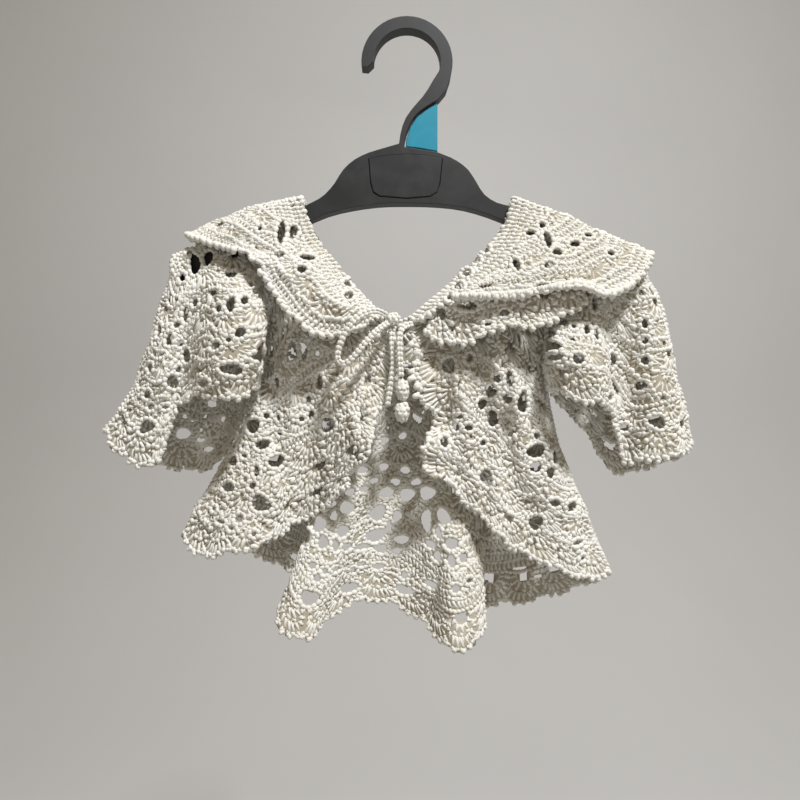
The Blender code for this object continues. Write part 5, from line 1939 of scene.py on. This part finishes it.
@dataclass(frozen=True)
class PlasticFinish:
    """Moulded plastic with a fine grain, light marks of use and a little dust.

    Attributes:
        name: the material's name.
        colour: base colour.
        worn: colour of the rubbed patches.
        roughness: middle roughness.
        relief: depth of the grain in metres.
        dust: colour of the dust.
    """

    name: str
    colour: tuple
    worn: tuple
    roughness: float = 0.42
    relief: float = 0.00004
    dust: tuple = (0.42, 0.40, 0.36)

    def build(self, effects: SharedEffects) -> bpy.types.Material:
        """Make the material.

        Args:
            effects: the shared groups.

        Returns:
            The material.
        """
        material, make, shader = blank_material(self.name)
        grain = make.add("ShaderNodeGroup", node_tree=effects.moulding)
        wear = make.add("ShaderNodeMapRange", clamp=True, From_Min=0.45, From_Max=0.8)
        tint = make.add("ShaderNodeMix", data_type="RGBA", A=(*self.colour, 1.0),
                        B=(*self.worn, 1.0))
        dust = make.add("ShaderNodeMix", data_type="RGBA", B=(*self.dust, 1.0))
        thin = make.add("ShaderNodeMath", operation="MULTIPLY")
        thin.inputs[1].default_value = 0.07
        rough = make.add("ShaderNodeMapRange", clamp=True, To_Min=self.roughness - 0.10,
                         To_Max=self.roughness + 0.14)
        bump = make.add("ShaderNodeBump", Strength=0.5, Distance=self.relief)
        make.wire((grain, "Marks", wear, "Value"), (wear, "Result", tint, "Factor"),
                  (tint, "Result", dust, "A"), (grain, "Dust", thin, 0), (thin, 0, dust, "Factor"),
                  (dust, "Result", shader, "Base Color"), (grain, "Marks", rough, "Value"),
                  (rough, "Result", shader, "Roughness"), (grain, "Grain", bump, "Height"),
                  (bump, "Normal", shader, "Normal"))
        return material


@dataclass
class Studio:
    """Camera at the photograph's place, floor, and soft light from the upper right front.

    Attributes:
        lens: focal length in millimetres.
        eye: where the camera stands.
        middle: what the lights point at.
        floor_height: height of the floor.
        floor_near: how far it reaches to the viewer.
        sweep_start: where it starts to turn up, behind the object.
        sweep_radius: radius of that turn.
        sweep_steps: flat strips of the turn.
        sweep_top: height where it ends.
        half_width: of the floor.
        wall_tone: what the camera sees past the floor.
        room_tone: light from all round.
        floor_tone: colour of the floor.
        lamps: name, place, side, watts and colour of each soft light.
    """

    lens: float = 26.0
    eye: tuple = (-0.0052, -0.375, -0.2392)
    middle: tuple = (0.0, 0.0, -0.24)
    floor_height: float = -0.95
    floor_near: float = -4.0
    sweep_start: float = 0.70
    sweep_radius: float = 0.80
    sweep_steps: int = 16
    sweep_top: float = 2.2
    half_width: float = 4.5
    wall_tone: tuple = (0.53, 0.52, 0.50)
    room_tone: tuple = (0.185, 0.153, 0.098)
    floor_tone: tuple = (0.62, 0.615, 0.615)
    lamps: tuple = (
        ("key", (0.62, -0.98, 1.50), 0.26, 57.0, (0.97, 0.985, 1.0)),
        ("fill", (-1.3, -1.2, 0.1), 1.2, 1.0, (0.95, 0.97, 1.0)),
        ("rear", (0.2, 0.85, 1.1), 0.7, 2.2, (1.0, 0.97, 0.92)),
    )

    def build(self) -> None:
        """Set up all of it."""
        self._camera()
        self._floor()
        self._lights()

    def _camera(self) -> None:
        """Level camera straight ahead."""
        data = bpy.data.cameras.new("camera")
        data.lens, data.sensor_width = self.lens, 36.0
        data.clip_start, data.clip_end = 0.01, 30.0
        item = add_object("camera", data)
        item.location, item.rotation_euler = self.eye, (pi / 2, 0.0, 0.0)
        bpy.context.scene.camera = item

    def _floor(self) -> None:
        """Wide pale floor that turns up far behind the object."""
        low, turn = self.floor_height, self.sweep_radius
        profile = [(self.floor_near, low), (self.sweep_start, low)]
        for step in range(1, self.sweep_steps + 1):
            angle = step * pi / (2 * self.sweep_steps)
            profile.append((self.sweep_start + turn * sin(angle), low + turn * (1.0 - cos(angle))))
        profile.append((self.sweep_start + turn, self.sweep_top))
        corners = [(x, y, z) for x in (-self.half_width, self.half_width) for y, z in profile]
        count = len(profile)
        faces = [(i, i + count, i + count + 1, i + 1) for i in range(count - 1)]
        mesh = bpy.data.meshes.new("floor")
        mesh.from_pydata(corners, [], faces)
        mesh.shade_smooth()
        floor = add_object("floor", mesh)
        material, make, shader = blank_material("pale_floor")
        cloud = make.add("ShaderNodeTexNoise", Scale=3.0, Detail=3.0)
        ramp = make.ramp(*([share * part for part in self.floor_tone] for share in (0.97, 1.03)))
        place = make.add("ShaderNodeTexCoord")
        make.wire((place, "Object", cloud, "Vector"), (cloud, "Fac", ramp, "Fac"),
                  (ramp, "Color", shader, "Base Color"))
        make.set(shader, Roughness=0.95)
        mesh.materials.append(material)

    def _lights(self) -> None:
        """Key light, two weak fills and the room's own tone."""
        for name, place, size, power, colour in self.lamps:
            data = bpy.data.lights.new(name, "AREA")
            data.size, data.energy, data.color = size, power, colour
            item = add_object(name, data)
            item.location = place
            aim = Vector(self.middle) - Vector(place)
            item.rotation_euler = aim.to_track_quat("-Z", "Y").to_euler()
        world = bpy.data.worlds.new("room")
        world.use_nodes = True
        make = NodeLayout(world.node_tree)
        seen, ambient = world.node_tree.nodes["Background"], make.add("ShaderNodeBackground")
        make.set(seen, Color=(*self.wall_tone, 1.0))
        make.set(ambient, Color=(*self.room_tone, 1.0))
        path, pick = make.add("ShaderNodeLightPath"), make.add("ShaderNodeMixShader")
        make.wire((path, "Is Camera Ray", pick, "Fac"), (ambient, "Background", pick, 1),
                  (seen, "Background", pick, 2),
                  (pick, "Shader", world.node_tree.nodes["World Output"], "Surface"))
        bpy.context.scene.world = world
        bpy.context.scene.view_settings.view_transform = "Standard"


@dataclass
class Tie:
    """Chain cord that closes the neck: its bow loop, two tails, knot and bobbles.

    Attributes:
        diameter: of the cord, in millimetres; not used.
        link: spacing of the chain's links along it.
        link_thick: half thickness of a link.
        link_ends: how far out from the centreline a link starts and ends.
        turns: turns of yarn round a knob.
        beads: links of each turn.
        seed: start of its small irregularities.
        cords: each cord's name, its route's points, its node and what ends it.
    """

    diameter: float = 3.8
    link: float = 3.0
    link_thick: float = 1.22
    link_ends: tuple = (0.35, 1.15)
    turns: int = 4
    beads: int = 7
    seed: int = 11
    cords: tuple = (
        ("tie_loop_chain", TIE_LOOP, "tie_loop", "object"),
        ("tie_tail_left_chain", TIE_TAIL_LEFT, "tie_tail_left", "knot"),
        ("tie_tail_right_chain", TIE_TAIL_RIGHT, "tie_tail_right", "fitting"),
    )

    VIEWER = (0.0, -1.0, 0.0)

    def build(self, cotton: bpy.types.Material) -> None:
        """Args:
            cotton: the yarn's finish.
        """
        self.random = np.random.default_rng(self.seed)
        self._knob("tie_knot_yarn", KNOT_CENTRE, KNOT_RADII, "tie_knot", cotton)
        bobbles = tuple(self._knob(f"{name}_yarn", centre, radii, name, cotton)
                        for name, centre, radii in BOBBLES)
        for name, table, node, far_end in self.cords:
            self._cord(name, table, node, cotton)

    def _route(self, table: Sequence) -> tuple[Array, float]:
        """Smooth centreline through a route's points.

        Args:
            table: the points.

        Returns:
            The centreline at even steps, and its length.
        """
        points = np.array(table, float)
        knots = run_along(points)
        fine = spline(knots, points, np.linspace(0.0, knots[-1], 120))
        runs = run_along(fine)
        places = np.linspace(0.0, runs[-1], max(14, round(runs[-1] / 2.2)))
        return read_line(places, runs, fine), runs[-1]

    def _cord(self, name: str, table: Sequence, node: str, cotton: bpy.types.Material) -> None:
        """Chain of two rows of slanting links, one on each side of its centreline.

        Args:
            name: the object's name.
            table: the route's points.
            node: the CAD node that it stands for.
            cotton: its finish.
        """
        path, length = self._route(table)
        runs, way = np.linspace(0.0, length, len(path)), np.gradient(path, axis=0)
        count = max(6, round(length / self.link))
        at = (np.arange(count) + 0.5) * length / count
        reach = 0.62 * length / count

        def point(run: Array, out: float) -> Array:
            """Places beside the centreline."""
            run = np.clip(run, 0.0, length)
            side = unit(np.cross(read_line(run, runs, way), self.VIEWER))
            return read_line(run, runs, path) + out * side

        parts = []
        for sign in (-1, 1):
            start, end = (point(at + way_on * reach, sign * out)
                          for way_on, out in zip((-1, 1), self.link_ends))
            thick = self.link_thick * self.random.uniform(0.94, 1.06, count)
            parts.append(Yarn.beads(start, end, np.tile(self.VIEWER, (count, 1)), thick, 1.4))
        item = mesh_object(name, *joined(parts))
        self._finish(item, node, cotton)
        LOG.info("%s: %.0f mm of chain cord", name, length)

    def _knob(self, name: str, centre: Sequence, radii: Sequence, node: str,
              cotton: bpy.types.Material) -> bpy.types.Object:
        """Knob of wrapped yarn: turns of strand round a soft core.

        Args:
            name: the object's name.
            centre: its middle.
            radii: its half sizes.
            node: the CAD node that it stands for.
            cotton: its finish.

        Returns:
            The knob.
        """
        middle, size = np.array(centre, float), np.array(radii, float)
        parts = []
        for turn in range(self.turns):
            height = -0.78 + 1.56 * turn / (self.turns - 1)
            width = np.sqrt(1.0 - height**2)
            angle = np.arange(self.beads) * 2 * pi / self.beads + 0.45 * turn
            ring = np.stack((width * np.cos(angle), width * np.sin(angle),
                             height + 0.16 * np.sin(2 * angle + turn)), axis=1)
            ring = middle + 0.74 * size * ring
            ahead = np.roll(ring, -1, axis=0)
            reach = 0.04 * (ahead - ring)
            thick = 0.36 * size[0] * self.random.uniform(0.85, 1.15, len(ring))
            parts.append(Yarn.beads(ring - reach, ahead + reach, unit(ring - middle), thick))
        axis = np.array([[0.0, 0.0, 0.9 * size[2]]])
        parts.append(Yarn.beads(middle - axis, middle + axis, np.array([self.VIEWER]),
                                np.array([0.86 * size[0]])))
        item = mesh_object(name, *joined(parts))
        self._finish(item, node, cotton)
        return item

    def _finish(self, item: bpy.types.Object, node: str, cotton: bpy.types.Material) -> None:
        """Give a piece its finish and its body, and hide the CAD node that it stands for.

        Args:
            item: the piece.
            node: the CAD node.
            cotton: its finish.
        """
        item.data.materials.append(cotton)
        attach(item, BODY)
        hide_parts(node)


@dataclass
class ClothPiece:
    """One crocheted piece: its smooth wall, its stitches and its flat size.

    Attributes:
        name: name of the CAD node that it stands for.
        lines: fold lines or ribs, stations, coordinates.
        stations: shares down of the stations.
        side: which way it faces.
        seed: start of its small irregularities.
        rests_on: nodes that carry it; not used.
        ruffle: waves along a front edge, where it has them.
        surface: its smooth wall.
        flat: width and length of the cut, in metres.
        area: flat area of the cut, in square metres.
        lace: its stitches.
    """

    name: str
    lines: Array
    stations: Sequence
    side: Side
    seed: int
    rests_on: tuple = ("hanger",)
    ruffle: Optional[Ruffle] = None
    surface: Surface = field(init=False)
    flat: tuple = field(init=False)
    area: float = field(init=False)
    lace: Lace = field(init=False)

    def __post_init__(self) -> None:
        """Form its wall, measure the cut and start its stitches."""
        self.surface = Surface(self.lines, self.stations, self.side, self.ruffle,
                               CREASES.get(self.name, ()))
        self.flat, self.area = self.surface.flat_size()
        self.lace = Lace(self.surface, self.seed)
        self.lace.mark_openings(OPENINGS.get(self.name, ()))

    def sew(self, *edges: Origin) -> None:
        """Work the chains along its edges."""
        for edge in edges:
            self.lace.selvedge(edge)

    def dress(self, wall: bpy.types.Material, cotton: bpy.types.Material) -> None:
        """Args:
            wall: finish of the felted wall, darker than the yarn as painted shade between the
                stitches.
            cotton: finish of the stitches.
        """
        self.lace.rim_openings()
        if self.name in BUMPED:
            self.lace.bump_edge(BUMPED[self.name])
        sheet = self.lace.wall(f"{self.name}_cloth")
        stitches = self.lace.yarn(self.name)
        sheet.data.materials.append(wall)
        for item in stitches:
            item.data.materials.append(cotton)
        for item in (sheet, *stitches):
            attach(item, BODY)
        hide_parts(self.name)
        LOG.info("%s: wall of %d faces, stitches of %s triangles", self.name,
                 len(sheet.data.polygons), [len(item.data.polygons) for item in stitches])


@dataclass
class Fronts:
    """The two fronts: hem shells, nets and shells, and the shelled front edge.

    Attributes:
        strip: width of the shelled strip along the front edge, in millimetres.
        strip_pitch: width of one of its shells.
        bands: the work from the hem up.
        panels: name, folds, front edge, side seam, ruffle and seed of each front.
    """

    strip: float = 24.0
    strip_pitch: float = 22.0
    bands: tuple = (
        Band(Work.SHELLS, 23.0, 1, 23.0), Band(Work.SCALES, 18.5, 2, 27.0, 0.5),
        Band(Work.ROW, 6.4), Band(Work.SCALES, 18.5, 1, 26.0),
        Band(Work.SCALES, 14.0, 1, 22.0), Band(Work.ROW, 6.4),
        Band(Work.SCALES, 14.0, 2, 22.0, 0.5), Band(Work.TALL, 12.0, 1, 3.2),
        Band(Work.SCALES, 14.0, 2, 20.0), Band(Work.NET, 8.0, 1, 11.0), Band(Work.ROW, 7.5),
        Band(Work.BARS, 7.5, 2, 3.4), Band(Work.ROW, 7.5, 6),
    )
    panels: tuple = (
        ("front_left", FRONT_LEFT, Origin.FINAL_EDGE, Origin.START_EDGE,
         Ruffle(1.0, 0.62, 2.5), 21),
        ("front_right", FRONT_RIGHT, Origin.START_EDGE, Origin.FINAL_EDGE,
         Ruffle(0.0, 0.10, -2.5), 22),
    )

    def build(self) -> list[ClothPiece]:
        """Lay the stitches of both fronts.

        Returns:
            The pieces.
        """
        made = []
        for name, folds, edge, seam, ruffle, seed in self.panels:
            piece = ClothPiece(name, fold_lines(folds, FRONT), STATIONS, FRONT, seed, ruffle=ruffle)
            inward = partial(piece.surface.inward, edge)
            piece.lace.fill(self.bands, zone=lambda u, v: inward(u, v) > self.strip)
            piece.lace.fill((Band(Work.SHELLS, self.strip, 1, self.strip_pitch),), edge,
                            lambda u, v: inward(u, v) <= self.strip + 0.5)
            piece.sew(seam, Origin.TOP)
            made.append(piece)
        return made


@dataclass
class Back:
    """The back: a shelled hem, dense rows, a net, and shells up to the neck.

    Attributes:
        seed: start of its small irregularities.
        bands: the work from the hem up.
    """

    seed: int = 31
    bands: tuple = (
        Band(Work.SHELLS, 23.0, 1, 23.0), Band(Work.ROW, 6.6, 2), Band(Work.BARS, 4.0, 1, 2.2),
        Band(Work.ROW, 6.6), Band(Work.SCALES, 13.5, 2, 20.0), Band(Work.ROW, 6.5),
        Band(Work.SCALES, 13.5, 2, 21.0), Band(Work.BARS, 7.0, 1, 3.4),
        Band(Work.SCALES, 13.5, 2, 21.0, 0.5), Band(Work.NET, 8.5, 2, 12.0),
        Band(Work.SCALES, 13.5, 2, 21.0), Band(Work.BARS, 7.0, 1, 3.4),
        Band(Work.SCALES, 13.5, 2, 21.0, 0.5), Band(Work.ROW, 7.4, 4),
    )

    def build(self) -> list[ClothPiece]:
        """Lay its stitches.

        Returns:
            The one piece.
        """
        piece = ClothPiece("back", back_lines(), STATIONS, REAR, self.seed)
        piece.lace.fill(self.bands)
        piece.sew(*SEAMS)
        return [piece]


@dataclass
class Sleeves:
    """Two short open sleeves, each of a front and a back panel.

    Attributes:
        bands: the work from the cuff up.
        panels: name, folds, side and seed of each panel.
    """

    bands: tuple = (
        Band(Work.SHELLS, 23.0), Band(Work.SCALES, 13.5, 1, 20.0, 0.5),
        Band(Work.BARS, 5.5, 1, 2.6), Band(Work.SCALES, 13.5, 2, 20.0),
        Band(Work.BARS, 6.0, 1, 2.6), Band(Work.SCALES, 13.5, 2, 20.0),
        Band(Work.BARS, 7.5, 1, 3.0), Band(Work.ROW, 7.5, 3),
    )
    panels: tuple = (
        ("sleeve_left_front", SLEEVE_LEFT_FRONT, FRONT, 41),
        ("sleeve_left_back", SLEEVE_LEFT_BACK, REAR, 42),
        ("sleeve_right_front", SLEEVE_RIGHT_FRONT, FRONT, 43),
        ("sleeve_right_back", SLEEVE_RIGHT_BACK, REAR, 44),
    )

    def build(self) -> list[ClothPiece]:
        """Lay the stitches of the four panels.

        Returns:
            The pieces.
        """
        made = []
        for name, folds, side, seed in self.panels:
            piece = ClothPiece(name, fold_lines(folds, side), STATIONS, side, seed)
            piece.lace.fill(self.bands)
            piece.sew(*SEAMS)
            made.append(piece)
        return made


@dataclass
class Collar:
    """The wide folded collar in three panels, and the frill under its right side.

    Attributes:
        neck_rows: width of the dense rows along the neck, in millimetres.
        neck: the work from the neck out.
        bands: the work from the outer edge in.
        frill: the work of the frill, from its edge in.
        panels: name, ribs, side and seed of each panel.
    """

    neck_rows: float = 19.0
    neck: tuple = (Band(Work.ROW, 5.0, 4),)
    bands: tuple = (
        Band(Work.ROW, 5.2, 2), Band(Work.SCALES, 12.0, 1, 17.0), Band(Work.ROW, 5.2, 2),
        Band(Work.SCALES, 12.0, 1, 19.0, 0.5), Band(Work.ROW, 5.2, 2),
        Band(Work.SCALES, 13.0, 3, 20.0),
    )
    frill: tuple = (Band(Work.SHELLS, 21.0, 1, 17.0), Band(Work.ROW, 7.2, 3))
    panels: tuple = (
        ("collar_left", COLLAR_LEFT, FRONT, 51), ("collar_right", COLLAR_RIGHT, FRONT, 52),
        ("collar_back", COLLAR_BACK, REAR, 53),
    )

    def build(self) -> list[ClothPiece]:
        """Lay the stitches of the collar's panels.

        Returns:
            The pieces.
        """
        made = []
        for name, ribs, side, seed in self.panels:
            piece = ClothPiece(name, rib_lines(ribs), COLLAR_STATIONS, side, seed,
                               ("hanger", "back"))
            length_at = piece.surface.length_at
            piece.lace.fill(self.neck, Origin.TOP)
            piece.lace.fill(self.bands, zone=lambda u, v: v * length_at(u) > self.neck_rows,
                            start=0.8)
            piece.lace.selvedge(Origin.HEM, 0.4, picots=True)
            piece.sew(*SEAMS)
            made.append(piece)
        frill = ClothPiece("collar_right_frill", frill_lines(), COLLAR_STATIONS, FRONT, 54,
                           ("collar_right",))
        frill.lace.fill(self.frill)
        frill.sew(Origin.START_EDGE, Origin.FINAL_EDGE)
        return [*made, frill]


@dataclass
class Hanger:
    """Child's hanger: its body and badge plate in charcoal, its size tag in cyan."""

    def dress(self, charcoal: bpy.types.Material, plate: bpy.types.Material,
              cyan: bpy.types.Material) -> None:
        """Give the moulded pieces their finishes.

        Args:
            charcoal: the body's finish.
            plate: the badge plate's finish.
            cyan: the tag's finish.
        """
        for node, finish in (("hanger", charcoal), ("badge_plate", plate), ("size_tag", cyan)):
            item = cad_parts[node]
            item.data.materials.clear()
            item.data.materials.append(finish)
            LOG.info("%s: dressed", node)


FINISHES = (
    CottonFinish("cream_cotton", (0.83, 0.82, 0.79), (0.75, 0.725, 0.66)),
    # The felted wall's two colours are darker than the yarn's: painted shade in the gaps between
    # the stitches
    CottonFinish("cream_cotton_painted_shade", (0.52, 0.475, 0.385), (0.42, 0.37, 0.285), 0.9, 0.1, 0.0004),
    PlasticFinish("charcoal_moulding", (0.014, 0.0145, 0.0165), (0.021, 0.0215, 0.024), 0.48),
    PlasticFinish("charcoal_plate", (0.018, 0.0185, 0.021), (0.025, 0.0255, 0.029), 0.44),
    PlasticFinish("cyan_moulding", (0.008, 0.27, 0.40), (0.015, 0.30, 0.43), 0.42),
)


def main() -> None:
    """Build every piece in order and report it."""
    logging.basicConfig(level=logging.INFO, format="%(message)s")
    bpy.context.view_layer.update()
    Studio().build()
    effects = SharedEffects()
    # The felted wall's finish carries painted shade: a darker colour for the gaps between the
    # stitches
    cotton, painted_shade_felt, charcoal, plate, cyan = (finish.build(effects) for finish in FINISHES)
    Tie().build(cotton)
    Hanger().dress(charcoal, plate, cyan)
    for part in (Fronts(), Back(), Sleeves(), Collar()):
        for piece in part.build():
            piece.dress(painted_shade_felt, cotton)


if __name__ == "__main__":
    main()
